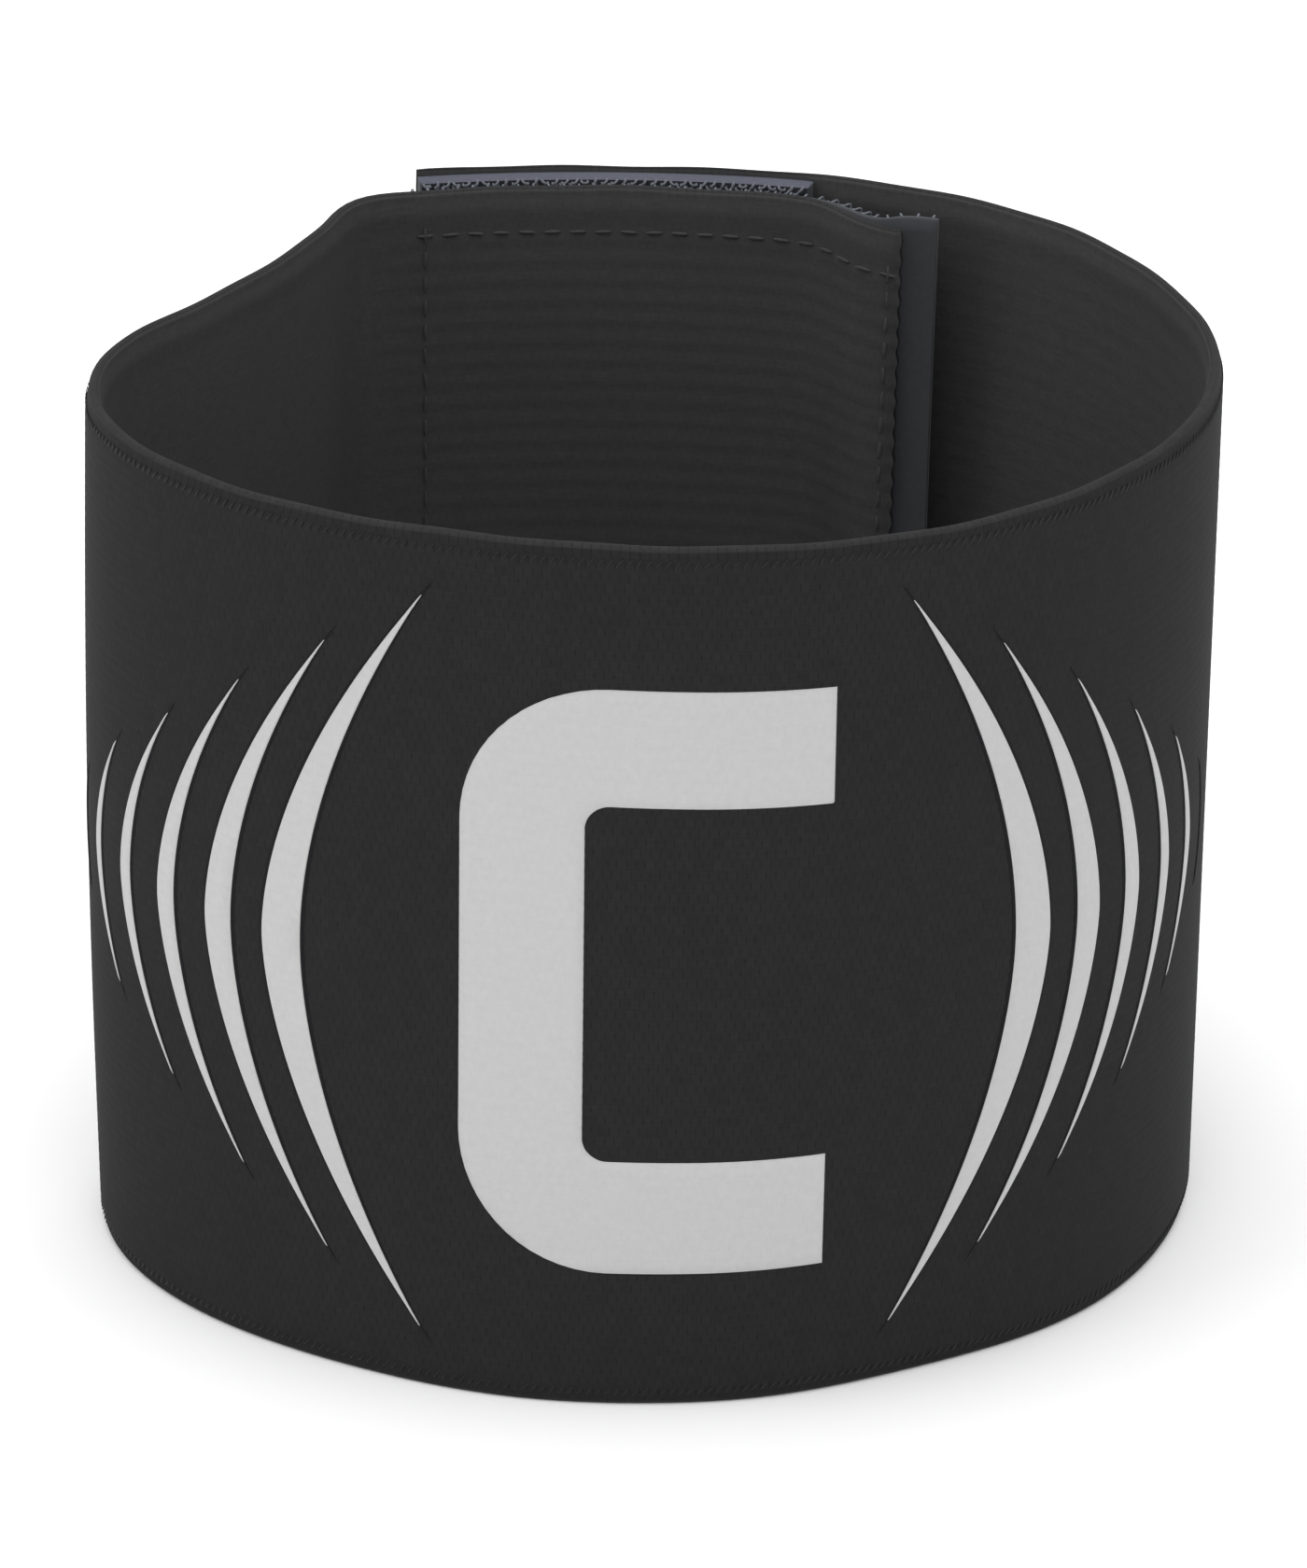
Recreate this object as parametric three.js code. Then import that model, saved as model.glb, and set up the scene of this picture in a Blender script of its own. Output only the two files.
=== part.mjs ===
// Captain's armband: one strip of wide black elastic, closed behind with hook and loop tape.
// Units are millimetres. +Z runs across the strip's width, -Y is the front that carries the letter.
// The strip stands on its lower edge, and the origin is the middle of the footprint at floor level.
import * as THREE from "three";

// ---- Driving dimensions -------------------------------------------------------------------------

const strapHeight = 75; // the elastic's woven width, standing upright
const strapThickness = 1.5;
const loopWidth = 92.6; // outside, limb to limb
const loopDepth = 89; // outside, front to back of the round part
const foremostOffset = 3.7; // the foremost point stands right of the loop's middle
const leftLimbBack = 35.3; // from the foremost face back to the left limb
const rightLimbBack = 44.5; // and to the right limb

// The closure: the tapes stiffen the strip, so it lies on a flatter curve than the loop.
const closureRadius = 80; // centreline of the flap
const closureStartAngle = 82; // degrees round the back curve from the right limb
const flapTailLength = 27.5; // flap beyond the start of the flatter curve
const hookTapeThickness = 1.2;
const loopTapeThickness = 1.6;
const hookTapeLead = 1.5; // hook tape showing past the flap's end
const hookTapeProjection = 3; // hook tape past the elastic's cut end
const engagedLength = 33; // inner tab lying against the flap
const loopTapeLength = 35;
const tapeInset = 0.5; // tapes stop this far from the strip's two edges

// The inner tab's free end curls forward by this much.
const curlReach = 9.2;
const curlDrop = 8;
const curlHandle = 6;
const curlEndHeading = 168; // degrees, travelling from the free end

// The left wall turns into the inner tab through a tight bend.
const bendAcross = 6.5;
const bendBack = 6.8;
const bendHeading = 256;
const bendHandle = 4;
const wallHandle = 9;
const wallHeading = 236;
const wallFrontInset = 4; // from the left limb's centreline
const wallFrontBack = 12.9; // behind the left limb
const limbHandle = 5;

// Clearances and thin layers.
const layerGap = 0.3; // between any two layers that lie on each other
const hingeGap = 0.3; // between two sections of the strip at a flexing line
const seamHingeGap = 0.9; // between two runs of thread, which close up as the flap bends outwards
const filmThickness = 0.25; // printed transfer film
const threadThickness = 0.25;
const threadWidth = 0.8;
const seamInset = 4; // seams from the strip's upper and lower edges
const seamEndInset = 1.2; // seams from a tape's or the strip's cut end

// Flexing lines, by distance along the strip.
const rightWallHingeAngle = 12; // degrees round the back curve from the right limb
const flapHingeLead = 6; // ahead of the loop tape's start
const tipHingeLead = 17; // ahead of the flap's end
const tabHingeLead = 1.6; // beyond the hook tape's inner end, in the tight bend

// The print is centred near the loop's middle, and so lies left of the foremost point.
const printOffset = -2.4;

// The printed captain's letter: a plain block C of even stroke.
const letterWidth = 29.5;
const letterShift = -1.5; // its open side is lighter, so it sits left of the stripes' middle
const letterHeight = 51;
const letterStroke = 10;
const letterInnerRadius = 2;

// The printed stripes: crescents that shrink from the letter towards the limbs.
const stripeCount = 6;
const stripeFirstTip = 20; // from the print's middle line to the first crescent's tips
const stripeTipPitch = 8.3;
const stripeFirstHalfHeight = 31.5;
const stripeHeightStep = 5.3;
const stripeFirstBulge = 14.1; // how far the outer edge stands out beyond the tips
const stripeBulgeStep = 2.5;
const stripeFirstWidth = 3.9; // at the middle
const stripeWidthStep = 0.68;
const stripeTipWidth = 0.3;
const stripeEdgePower = 1.7; // 2 would be a parabola; less draws the ends out straighter
const stripeTaperPower = 1.45;

// Mesh steps.
const strapStep = 2;
const patchStep = 1.5;

// ---- The strip's centreline, seen from above ----------------------------------------------------

const halfThickness = strapThickness / 2;
const roundX = loopWidth / 2 - halfThickness;
const roundY = loopDepth / 2 - halfThickness;
const closureStack = strapThickness + hookTapeThickness + loopTapeThickness + 3 * layerGap;
const rad = THREE.MathUtils.degToRad;

function headingVector(degrees) {
  return new THREE.Vector2(Math.cos(rad(degrees)), Math.sin(rad(degrees)));
}

// A cubic that leaves one point on one heading and reaches the other on another heading.
function easedCurve(from, fromDirection, to, toDirection, fromHandle, toHandle) {
  return new THREE.CubicBezierCurve(
    from,
    from.clone().addScaledVector(fromDirection, fromHandle),
    to.clone().addScaledVector(toDirection, -toHandle),
    to,
  );
}

function arcAbout(centre, radius, startAngle, endAngle) {
  return new THREE.EllipseCurve(centre.x, centre.y, radius, radius, startAngle, endAngle, false, 0);
}

// A quarter or less of an ellipse, travelled anticlockwise between two angles in degrees.
function roundCurve(centreX, centreY, radiusX, radiusY, startDegrees, endDegrees) {
  return new THREE.EllipseCurve(
    centreX, centreY, radiusX, radiusY, rad(startDegrees), rad(endDegrees), false, 0,
  );
}

const foremostY = -roundY;
const leftLimbY = leftLimbBack - loopDepth / 2;
const rightLimbY = rightLimbBack - loopDepth / 2;
const backHalfDepth = roundY - rightLimbY;
const frontLeft = roundCurve(
  foremostOffset, leftLimbY, roundX + foremostOffset, leftLimbY - foremostY, 180, 270,
);
const frontRight = roundCurve(
  foremostOffset, rightLimbY, roundX - foremostOffset, rightLimbY - foremostY, 270, 360,
);
const backRight = roundCurve(0, rightLimbY, roundX, backHalfDepth, 0, closureStartAngle);
const closureStart = backRight.getPoint(1);
const closureSlope = Math.atan2(
  backHalfDepth * Math.cos(rad(closureStartAngle)), roundX * Math.sin(rad(closureStartAngle)),
);
const closureCentre = new THREE.Vector2(
  closureStart.x - closureRadius * Math.sin(closureSlope),
  closureStart.y - closureRadius * Math.cos(closureSlope),
);
const flapStartAngle = Math.PI / 2 - closureSlope;
const flapEndAngle = flapStartAngle + flapTailLength / closureRadius;
const flapTail = arcAbout(closureCentre, closureRadius, flapStartAngle, flapEndAngle);

const tabRadius = closureRadius - closureStack;
const tabEndAngle = flapEndAngle + hookTapeLead / tabRadius;
const tabStartAngle = tabEndAngle - engagedLength / tabRadius;
const tabArc = arcAbout(closureCentre, tabRadius, tabStartAngle, tabEndAngle);
const tabCurlPoint = tabArc.getPoint(0);
const tabBendPoint = tabArc.getPoint(1);
const tabCurlDirection = new THREE.Vector2(-Math.sin(tabStartAngle), Math.cos(tabStartAngle));
const tabBendDirection = new THREE.Vector2(-Math.sin(tabEndAngle), Math.cos(tabEndAngle));

const freeEnd = new THREE.Vector2(tabCurlPoint.x + curlReach, tabCurlPoint.y - curlDrop);
const bendPoint = new THREE.Vector2(tabBendPoint.x - bendAcross, tabBendPoint.y - bendBack);
const wallPoint = new THREE.Vector2(wallFrontInset - roundX, leftLimbY + wallFrontBack);
const limbPoint = frontLeft.getPoint(0);
const limbDirection = headingVector(270);

const centreline = new THREE.CurvePath();
centreline.add(easedCurve(
  freeEnd, headingVector(curlEndHeading), tabCurlPoint, tabCurlDirection, curlHandle, curlHandle,
));
centreline.add(tabArc);
centreline.add(easedCurve(
  tabBendPoint, tabBendDirection, bendPoint, headingVector(bendHeading), bendHandle, bendHandle,
));
centreline.add(easedCurve(
  bendPoint, headingVector(bendHeading), wallPoint, headingVector(wallHeading), wallHandle, wallHandle,
));
centreline.add(easedCurve(
  wallPoint, headingVector(wallHeading), limbPoint, limbDirection, limbHandle, limbHandle,
));
centreline.add(frontLeft);
centreline.add(frontRight);
centreline.add(backRight);
centreline.add(flapTail);

// Distances along the strip, from the inner tab's cut end.
const [, tabArcEnd, , , , foremostAlong, rightLimbAlong, , stripEnd] = centreline.getCurveLengths();

function alongBackCurve(degrees) {
  const steps = 400;
  const lengths = backRight.getLengths(steps);
  return rightLimbAlong + lengths[Math.round((degrees / closureStartAngle) * steps)];
}

const hookTapeEnd = tabArcEnd;
const loopTapeStart = stripEnd - loopTapeLength;
const tabHinge = tabArcEnd + tabHingeLead;
const rightWallHinge = alongBackCurve(rightWallHingeAngle);
const printMiddle = foremostAlong + printOffset;
const flapHinge = loopTapeStart - flapHingeLead;
const tipHinge = stripEnd - tipHingeLead;

// The plan position at a distance along the strip and an offset outwards from its centreline.
// Past the cut end it goes straight on, for the tape that projects there.
function planPoint(along, offset) {
  const beyond = Math.min(along, 0);
  const share = THREE.MathUtils.clamp(along / stripEnd, 0, 1);
  const point = centreline.getPoint(share);
  const tangent = centreline.getTangent(share);
  return new THREE.Vector2(
    point.x + tangent.x * beyond + tangent.y * offset,
    point.y + tangent.y * beyond - tangent.x * offset,
  );
}

// ---- Sheets that lie on the strip ---------------------------------------------------------------

// A closed sheet from rows of [along, height] points, raised between two offsets.
// The columns of a row run to the left of the rows' direction of travel. A ring joins last to first.
function sheetGeometry(rows, innerOffset, outerOffset, ring = false) {
  const rowCount = rows.length;
  const columnCount = rows[0].length;
  const positions = [];
  for (const offset of [innerOffset, outerOffset]) {
    for (const row of rows) {
      for (const [along, height] of row) {
        const point = planPoint(along, offset);
        positions.push(point.x, point.y, height);
      }
    }
  }
  const layerSize = rowCount * columnCount;
  const inner = (row, column) => (row % rowCount) * columnCount + column;
  const outer = (row, column) => layerSize + inner(row, column);
  const indices = [];
  const quad = (a, b, c, d) => indices.push(a, b, c, a, c, d);
  const spans = ring ? rowCount : rowCount - 1;
  const lastColumn = columnCount - 1;
  for (let i = 0; i < spans; i++) {
    for (let j = 0; j < lastColumn; j++) {
      quad(outer(i, j), outer(i + 1, j), outer(i + 1, j + 1), outer(i, j + 1));
      quad(inner(i, j), inner(i, j + 1), inner(i + 1, j + 1), inner(i + 1, j));
    }
    quad(inner(i, 0), inner(i + 1, 0), outer(i + 1, 0), outer(i, 0));
    quad(inner(i, lastColumn), outer(i, lastColumn), outer(i + 1, lastColumn), inner(i + 1, lastColumn));
  }
  if (!ring) {
    const last = rowCount - 1;
    for (let j = 0; j < lastColumn; j++) {
      quad(inner(0, j), outer(0, j), outer(0, j + 1), inner(0, j + 1));
      quad(inner(last, j), inner(last, j + 1), outer(last, j + 1), outer(last, j));
    }
  }
  const geometry = new THREE.BufferGeometry();
  geometry.setAttribute("position", new THREE.Float32BufferAttribute(positions, 3));
  geometry.setIndex(indices);
  geometry.computeVertexNormals();
  return geometry;
}

// Rows for a straight length of the strip or of a tape.
function lengthRows(start, end, bottom, top) {
  const count = Math.max(1, Math.ceil((end - start) / strapStep));
  const rows = [];
  for (let i = 0; i <= count; i++) {
    const along = start + ((end - start) * i) / count;
    rows.push([[along, bottom], [along, top]]);
  }
  return rows;
}

// Rows for a ribbon of even width that follows points on the strip's face.
function ribbonRows(points, width, columns, ring = false) {
  const count = points.length;
  return points.map((point, i) => {
    const before = points[ring ? (i + count - 1) % count : Math.max(i - 1, 0)];
    const after = points[ring ? (i + 1) % count : Math.min(i + 1, count - 1)];
    const travel = after.clone().sub(before).normalize();
    const row = [];
    for (let j = 0; j <= columns; j++) {
      const side = width * (j / columns - 0.5);
      row.push([point.x - travel.y * side, point.y + travel.x * side]);
    }
    return row;
  });
}

function spacedPoints(path) {
  return path.getSpacedPoints(Math.ceil(path.getLength() / patchStep));
}

const strapFace = halfThickness;
const faceLayer = (thickness) => [strapFace + layerGap, strapFace + layerGap + thickness];
const innerFaceLayer = (thickness) => faceLayer(thickness).map((offset) => -offset).reverse();

// ---- Materials ----------------------------------------------------------------------------------

const elasticMaterial = new THREE.MeshStandardMaterial({ color: 0x2b2b2c, roughness: 0.9, metalness: 0 });
const hookMaterial = new THREE.MeshStandardMaterial({ color: 0x45484d, roughness: 0.6, metalness: 0 });
const loopMaterial = new THREE.MeshStandardMaterial({ color: 0x3b3e43, roughness: 0.95, metalness: 0 });
const threadMaterial = new THREE.MeshStandardMaterial({ color: 0x38393b, roughness: 0.7, metalness: 0 });
const printMaterial = new THREE.MeshStandardMaterial({ color: 0xc6c6c6, roughness: 0.7, metalness: 0 });
const darkPrintMaterial = new THREE.MeshStandardMaterial({ color: 0x1d1d1e, roughness: 0.5, metalness: 0 });

const armband = new THREE.Group();
armband.name = "captain_armband";

function addPiece(name, geometry, material) {
  const mesh = new THREE.Mesh(geometry, material);
  mesh.name = name;
  armband.add(mesh);
}

// ---- The elastic strip, in sections between its flexing lines -----------------------------------

function addStrapSection(name, start, end) {
  const rows = lengthRows(start, end, 0, strapHeight);
  addPiece(name, sheetGeometry(rows, -halfThickness, halfThickness), elasticMaterial);
}

const halfHinge = hingeGap / 2;
addStrapSection("strap_inner_tab", 0, tabHinge - halfHinge);
addStrapSection("strap_front_wall", tabHinge + halfHinge, rightWallHinge - halfHinge);
addStrapSection("strap_right_wall", rightWallHinge + halfHinge, flapHinge - halfHinge);
addStrapSection("strap_flap_base", flapHinge + halfHinge, tipHinge - halfHinge);
addStrapSection("strap_flap_tip", tipHinge + halfHinge, stripEnd);

// ---- Hook tape on the tab's outer face, loop tape on the flap's inner face ----------------------

function addTape(name, start, end, offsets, material) {
  const rows = lengthRows(start, end, tapeInset, strapHeight - tapeInset);
  addPiece(name, sheetGeometry(rows, ...offsets), material);
}

addTape("hook_tape", -hookTapeProjection, hookTapeEnd, faceLayer(hookTapeThickness), hookMaterial);
const loopLayer = innerFaceLayer(loopTapeThickness);
addTape("loop_tape_base", loopTapeStart, tipHinge - halfHinge, loopLayer, loopMaterial);
addTape("loop_tape_tip", tipHinge + halfHinge, stripEnd, loopLayer, loopMaterial);

// ---- Seams --------------------------------------------------------------------------------------

// The hook tape's seam is a closed rectangle of thread, seen on the tab's inner face.
const seamBottom = seamInset;
const seamTop = strapHeight - seamInset;
const hookSeamPath = new THREE.Path();
hookSeamPath.moveTo(seamEndInset, seamBottom);
hookSeamPath.lineTo(hookTapeEnd - seamEndInset, seamBottom);
hookSeamPath.lineTo(hookTapeEnd - seamEndInset, seamTop);
hookSeamPath.lineTo(seamEndInset, seamTop);
hookSeamPath.lineTo(seamEndInset, seamBottom);
const hookSeamPoints = spacedPoints(hookSeamPath).slice(0, -1);
const hookSeamRows = ribbonRows(hookSeamPoints, threadWidth, 1, true);
const hookSeam = sheetGeometry(hookSeamRows, ...innerFaceLayer(threadThickness), true);
addPiece("hook_tape_seam", hookSeam, threadMaterial);

// The loop tape's seam shows on the flap's outer face, in two parts that meet at the tip's flexing line.
function addLoopSeam(name, openEnd, closedEnd) {
  const path = new THREE.Path();
  const forward = closedEnd > openEnd;
  path.moveTo(openEnd, forward ? seamBottom : seamTop);
  path.lineTo(closedEnd, forward ? seamBottom : seamTop);
  path.lineTo(closedEnd, forward ? seamTop : seamBottom);
  path.lineTo(openEnd, forward ? seamTop : seamBottom);
  const rows = ribbonRows(spacedPoints(path), threadWidth, 1);
  addPiece(name, sheetGeometry(rows, ...faceLayer(threadThickness)), threadMaterial);
}

const halfSeamHinge = seamHingeGap / 2;
addLoopSeam("loop_tape_seam_base", tipHinge - halfSeamHinge, loopTapeStart + seamEndInset);
addLoopSeam("loop_tape_seam_tip", tipHinge + halfSeamHinge, stripEnd - seamEndInset);

// ---- The captain's letter -----------------------------------------------------------------------

const middleHeight = strapHeight / 2;
const letterPath = new THREE.Path();
const strokeRadius = letterInnerRadius + letterStroke / 2;
const letterMiddle = printMiddle + letterShift;
const letterLeft = letterMiddle - letterWidth / 2 + letterStroke / 2;
const letterRight = letterMiddle + letterWidth / 2;
const letterTop = middleHeight + letterHeight / 2 - letterStroke / 2;
const letterBottom = middleHeight - letterHeight / 2 + letterStroke / 2;
const cornerX = letterLeft + strokeRadius;
letterPath.moveTo(letterRight, letterTop);
letterPath.lineTo(cornerX, letterTop);
letterPath.absarc(cornerX, letterTop - strokeRadius, strokeRadius, Math.PI / 2, Math.PI, false);
letterPath.lineTo(letterLeft, letterBottom + strokeRadius);
letterPath.absarc(cornerX, letterBottom + strokeRadius, strokeRadius, Math.PI, 1.5 * Math.PI, false);
letterPath.lineTo(letterRight, letterBottom);
const letterColumns = 4;
const letterRows = ribbonRows(spacedPoints(letterPath), letterStroke, letterColumns);
addPiece("captain_letter", sheetGeometry(letterRows, ...faceLayer(filmThickness)), printMaterial);

// ---- The stripes --------------------------------------------------------------------------------

function addStripe(name, index, side) {
  const halfHeight = stripeFirstHalfHeight - index * stripeHeightStep;
  const bulge = stripeFirstBulge - index * stripeBulgeStep;
  const width = stripeFirstWidth - index * stripeWidthStep;
  const tip = stripeFirstTip + index * stripeTipPitch;
  const count = Math.ceil(halfHeight / patchStep) * 2;
  const rows = [];
  for (let i = 0; i <= count; i++) {
    const share = (2 * i) / count - 1;
    const taper = Math.max(0, 1 - Math.abs(share) ** stripeTaperPower);
    const far = tip + bulge * (1 - Math.abs(share) ** stripeEdgePower) + stripeTipWidth;
    const near = far - stripeTipWidth - width * taper;
    const edges = side > 0 ? [far, near] : [-near, -far];
    rows.push(edges.map((edge) => [printMiddle + edge, middleHeight + halfHeight * share]));
  }
  const material = index < stripeCount - 1 ? printMaterial : darkPrintMaterial;
  addPiece(name, sheetGeometry(rows, ...faceLayer(filmThickness)), material);
}

for (let index = 0; index < stripeCount; index++) {
  addStripe(`stripe_left_${index + 1}`, index, -1);
  addStripe(`stripe_right_${index + 1}`, index, 1);
}

// ---- Placing ------------------------------------------------------------------------------------

const bounds = new THREE.Box3().setFromObject(armband);
const middle = bounds.getCenter(new THREE.Vector3());
armband.position.set(-middle.x, -middle.y, -bounds.min.z);

// Each flexing line is a vertical axis on the face that the strip bends towards.
function hingeLine(along, offset) {
  const point = planPoint(along, offset);
  return [point.x - middle.x, point.y - middle.y];
}

armband.userData.hinges = {
  inner_tab_flex: hingeLine(tabHinge, -halfThickness),
  right_wall_swing: hingeLine(rightWallHinge, halfThickness),
  flap_peel: hingeLine(flapHinge, halfThickness),
  flap_tip_peel: hingeLine(tipHinge, halfThickness),
};
armband.userData.stripLength = stripEnd;

export default armband;
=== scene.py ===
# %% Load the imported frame
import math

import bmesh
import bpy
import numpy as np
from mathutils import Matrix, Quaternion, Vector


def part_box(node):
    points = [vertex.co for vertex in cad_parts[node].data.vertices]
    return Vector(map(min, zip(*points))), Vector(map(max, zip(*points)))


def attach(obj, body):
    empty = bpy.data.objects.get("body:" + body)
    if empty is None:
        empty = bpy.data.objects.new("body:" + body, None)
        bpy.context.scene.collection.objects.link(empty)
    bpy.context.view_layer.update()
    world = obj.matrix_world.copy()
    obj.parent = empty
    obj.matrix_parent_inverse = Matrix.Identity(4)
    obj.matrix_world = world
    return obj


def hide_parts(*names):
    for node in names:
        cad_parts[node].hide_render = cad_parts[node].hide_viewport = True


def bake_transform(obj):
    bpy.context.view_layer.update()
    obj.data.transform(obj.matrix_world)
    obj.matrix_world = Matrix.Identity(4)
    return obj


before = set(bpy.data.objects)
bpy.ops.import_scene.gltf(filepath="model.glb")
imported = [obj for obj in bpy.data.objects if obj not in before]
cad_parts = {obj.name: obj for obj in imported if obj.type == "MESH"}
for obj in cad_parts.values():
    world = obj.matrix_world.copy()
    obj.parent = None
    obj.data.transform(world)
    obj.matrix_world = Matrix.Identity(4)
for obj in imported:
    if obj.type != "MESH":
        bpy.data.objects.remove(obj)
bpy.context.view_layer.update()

# %% [markdown]
# # A captain's armband
# The real object is one strip of 75 mm wide black elastic. It goes round the arm and closes behind
# with hook and loop tape. White transfer film on the front shows a plain letter between curved
# stripes. Everything below follows the strip: a point is named by its distance along the strip, its
# height up the strip's width, and how far out it stands from the middle of the strip's thickness.

MM = 0.001

# %% [markdown]
# ## The strip's route, seen from above
# The elastic lies on three quarter ellipses and a flatter back curve, where the tapes stiffen it.
# Its other end turns in through a tight bend and lies inside the back curve. A curve object would
# do, but stitches, films and tapes all have to lie on the same route, so the route is kept as
# numbers that every piece reads. The sizes are those of the CAD model, in millimetres.

# %% Sizes of the loop
STRAP_HEIGHT = round(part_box("strap_front_wall")[1].z / MM, 3)
HALF_THICKNESS = 0.75
LOOP_WIDTH = 92.6
LOOP_DEPTH = 89.0
ROUND_X = LOOP_WIDTH / 2 - HALF_THICKNESS
ROUND_Y = LOOP_DEPTH / 2 - HALF_THICKNESS
FOREMOST_X = 3.7  # the front stands out furthest a little right of the middle
LEFT_LIMB_Y = 35.3 - LOOP_DEPTH / 2
print("strap height", STRAP_HEIGHT)

# %% Sizes of the closure
BACK_END_ANGLE = 82.0
FLAP_RADIUS = 80.0
FLAP_TAIL = 27.5
LAYERS = 5.2  # from the inner tab's middle to the flap's
TAB_RADIUS = FLAP_RADIUS - LAYERS
TAB_LEAD = 1.5
TAB_LENGTH = 33.0
FREE_END_STEP = (9.2, -8.0)  # from the closure's right end to the tab's free end
BEND_STEP = (-6.5, -6.8)  # from the closure's left end to the middle of the turn inwards
WALL_STEP = (4, 12.9)  # from the left limb to where the left wall runs straight
FREE_END_HEADING, BEND_HEADING, WALL_HEADING = 168, 256, 236
FREE_END_EASE, CLOSURE_EASE, BEND_EASE, LIMB_EASE = 6, 4, 9, 5
print("tab lies", LAYERS, "mm inside the flap")


# %% Runs of the route
def arc_run(centre, radii, start, end, steps=500):
    angle = np.radians(np.linspace(start, end, steps))
    return np.array(centre) + np.array(radii) * np.stack([np.cos(angle), np.sin(angle)], 1)


def heading(degrees):
    return np.array([math.cos(math.radians(degrees)), math.sin(math.radians(degrees))])


def eased_run(start, start_heading, end, end_heading, start_handle, end_handle, steps=500):
    """A smooth run between two points, with the heading in degrees at each."""
    a, d = np.array(start), np.array(end)
    b, c = a + heading(start_heading) * start_handle, d - heading(end_heading) * end_handle
    t = np.linspace(0, 1, steps)[:, None]
    return a * (1 - t) ** 3 + 3 * b * t * (1 - t) ** 2 + 3 * c * t**2 * (1 - t) + d * t**3


left_centre = (FOREMOST_X, LEFT_LIMB_Y)
front_left = arc_run(left_centre, (ROUND_X + FOREMOST_X, LEFT_LIMB_Y + ROUND_Y), 180, 270)
front_right = arc_run((FOREMOST_X, 0), (ROUND_X - FOREMOST_X, ROUND_Y), 270, 360)
back_right = arc_run((0, 0), (ROUND_X, ROUND_Y), 0, BACK_END_ANGLE)
back_angle = math.radians(BACK_END_ANGLE)
back_slope = math.atan2(ROUND_Y * math.cos(back_angle), ROUND_X * math.sin(back_angle))
flap_centre = back_right[-1] - FLAP_RADIUS * np.array([math.sin(back_slope), math.cos(back_slope)])
flap_start = 90 - math.degrees(back_slope)
flap_end = flap_start + math.degrees(FLAP_TAIL / FLAP_RADIUS)
flap_tail = arc_run(flap_centre, (FLAP_RADIUS, FLAP_RADIUS), flap_start, flap_end)
tab_end = flap_end + math.degrees(TAB_LEAD / TAB_RADIUS)
tab_start = tab_end - math.degrees(TAB_LENGTH / TAB_RADIUS)
tab = arc_run(flap_centre, (TAB_RADIUS, TAB_RADIUS), tab_start, tab_end)
free_end, bend = tab[0] + FREE_END_STEP, tab[-1] + BEND_STEP
wall = (WALL_STEP[0] - ROUND_X, LEFT_LIMB_Y + WALL_STEP[1])
runs = [
    eased_run(free_end, FREE_END_HEADING, tab[0], tab_start + 90, FREE_END_EASE, FREE_END_EASE),
    tab, eased_run(tab[-1], tab_end + 90, bend, BEND_HEADING, CLOSURE_EASE, CLOSURE_EASE),
    eased_run(bend, BEND_HEADING, wall, WALL_HEADING, BEND_EASE, BEND_EASE),
    eased_run(wall, WALL_HEADING, front_left[0], 270, LIMB_EASE, LIMB_EASE), front_left,
    front_right, back_right, flap_tail
]
run_ends = np.cumsum([np.linalg.norm(np.diff(run, axis=0), axis=1).sum() for run in runs])
TAB_ARC_END, LEFT_LIMB, FOREMOST, RIGHT_LIMB = run_ends[1], run_ends[4], run_ends[5], run_ends[6]
STRIP_END = run_ends[-1]
print("strip length", round(STRIP_END, 2), "left limb at", round(LEFT_LIMB, 2))

# %% One route
route = np.vstack([runs[0]] + [run[1:] for run in runs[1:]])
route_steps = np.linalg.norm(np.diff(route, axis=0), axis=1)
route_along = np.concatenate([[0], np.cumsum(route_steps)])
route_tangent = np.gradient(route, route_along, axis=0)
route_tangent /= np.linalg.norm(route_tangent, axis=1)[:, None]
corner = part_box("strap_front_wall")[0]
SHIFT = (corner.x / MM + LOOP_WIDTH / 2, corner.y / MM + LOOP_DEPTH / 2)
print("route of", len(route), "points, shift", [round(x, 3) for x in SHIFT])

# %% [markdown]
# ## How the soft strip leans
# A soft strip never stands quite upright. Its rim leans out behind, its hem bows at the front, and
# the tab's sewn corner curls out and sinks. A cloth simulation could find such shapes, but they
# are few and small, so each is one rule: a bell along the strip times a profile up its height.
# Every piece on the strip is placed through this rule, so film and stitches lean with the cloth.

# %% Bows
# Each is (middle along, spread along, how far out, where up the height), in mm.
TAB_CORNER_BOW = (-1.5, 6.5, 3.4, "top")
CORNER_SINK = 0.45  # of its bow: sewing draws the elastic down, and the stiffer tape stays up
BOWS = [
    (LEFT_LIMB, 20, 0.5, "middle"),
    (RIGHT_LIMB, 24, 0.6, "all"),
    (272, 19, 1.4, "top"),  # the back rim
    (FOREMOST - 14, 13, 0.9, "bottom"),
    (FOREMOST + 20, 14, -1.7, "bottom"),
    TAB_CORNER_BOW,
]


def bow_at(along, height, bows=BOWS):
    """How far, in mm, the soft strip leans out of an upright wall at a point."""
    share = np.clip(height / STRAP_HEIGHT, 0, 1)
    profiles = {
        "all": np.ones_like(share), "middle": np.sin(math.pi * share), "top": share**2,
        "bottom": (1 - share) ** 2
    }
    return sum(
        out * np.exp(-(((along - middle) / spread) ** 2)) * profiles[where]
        for middle, spread, out, where in bows
    )


print("back rim leans out", round(float(bow_at(272.0, STRAP_HEIGHT)), 2), "mm")


# %% Placing points on the strip
def tangent_at(along):
    return [np.interp(along, route_along, route_tangent[:, i]) for i in (0, 1)]


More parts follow.
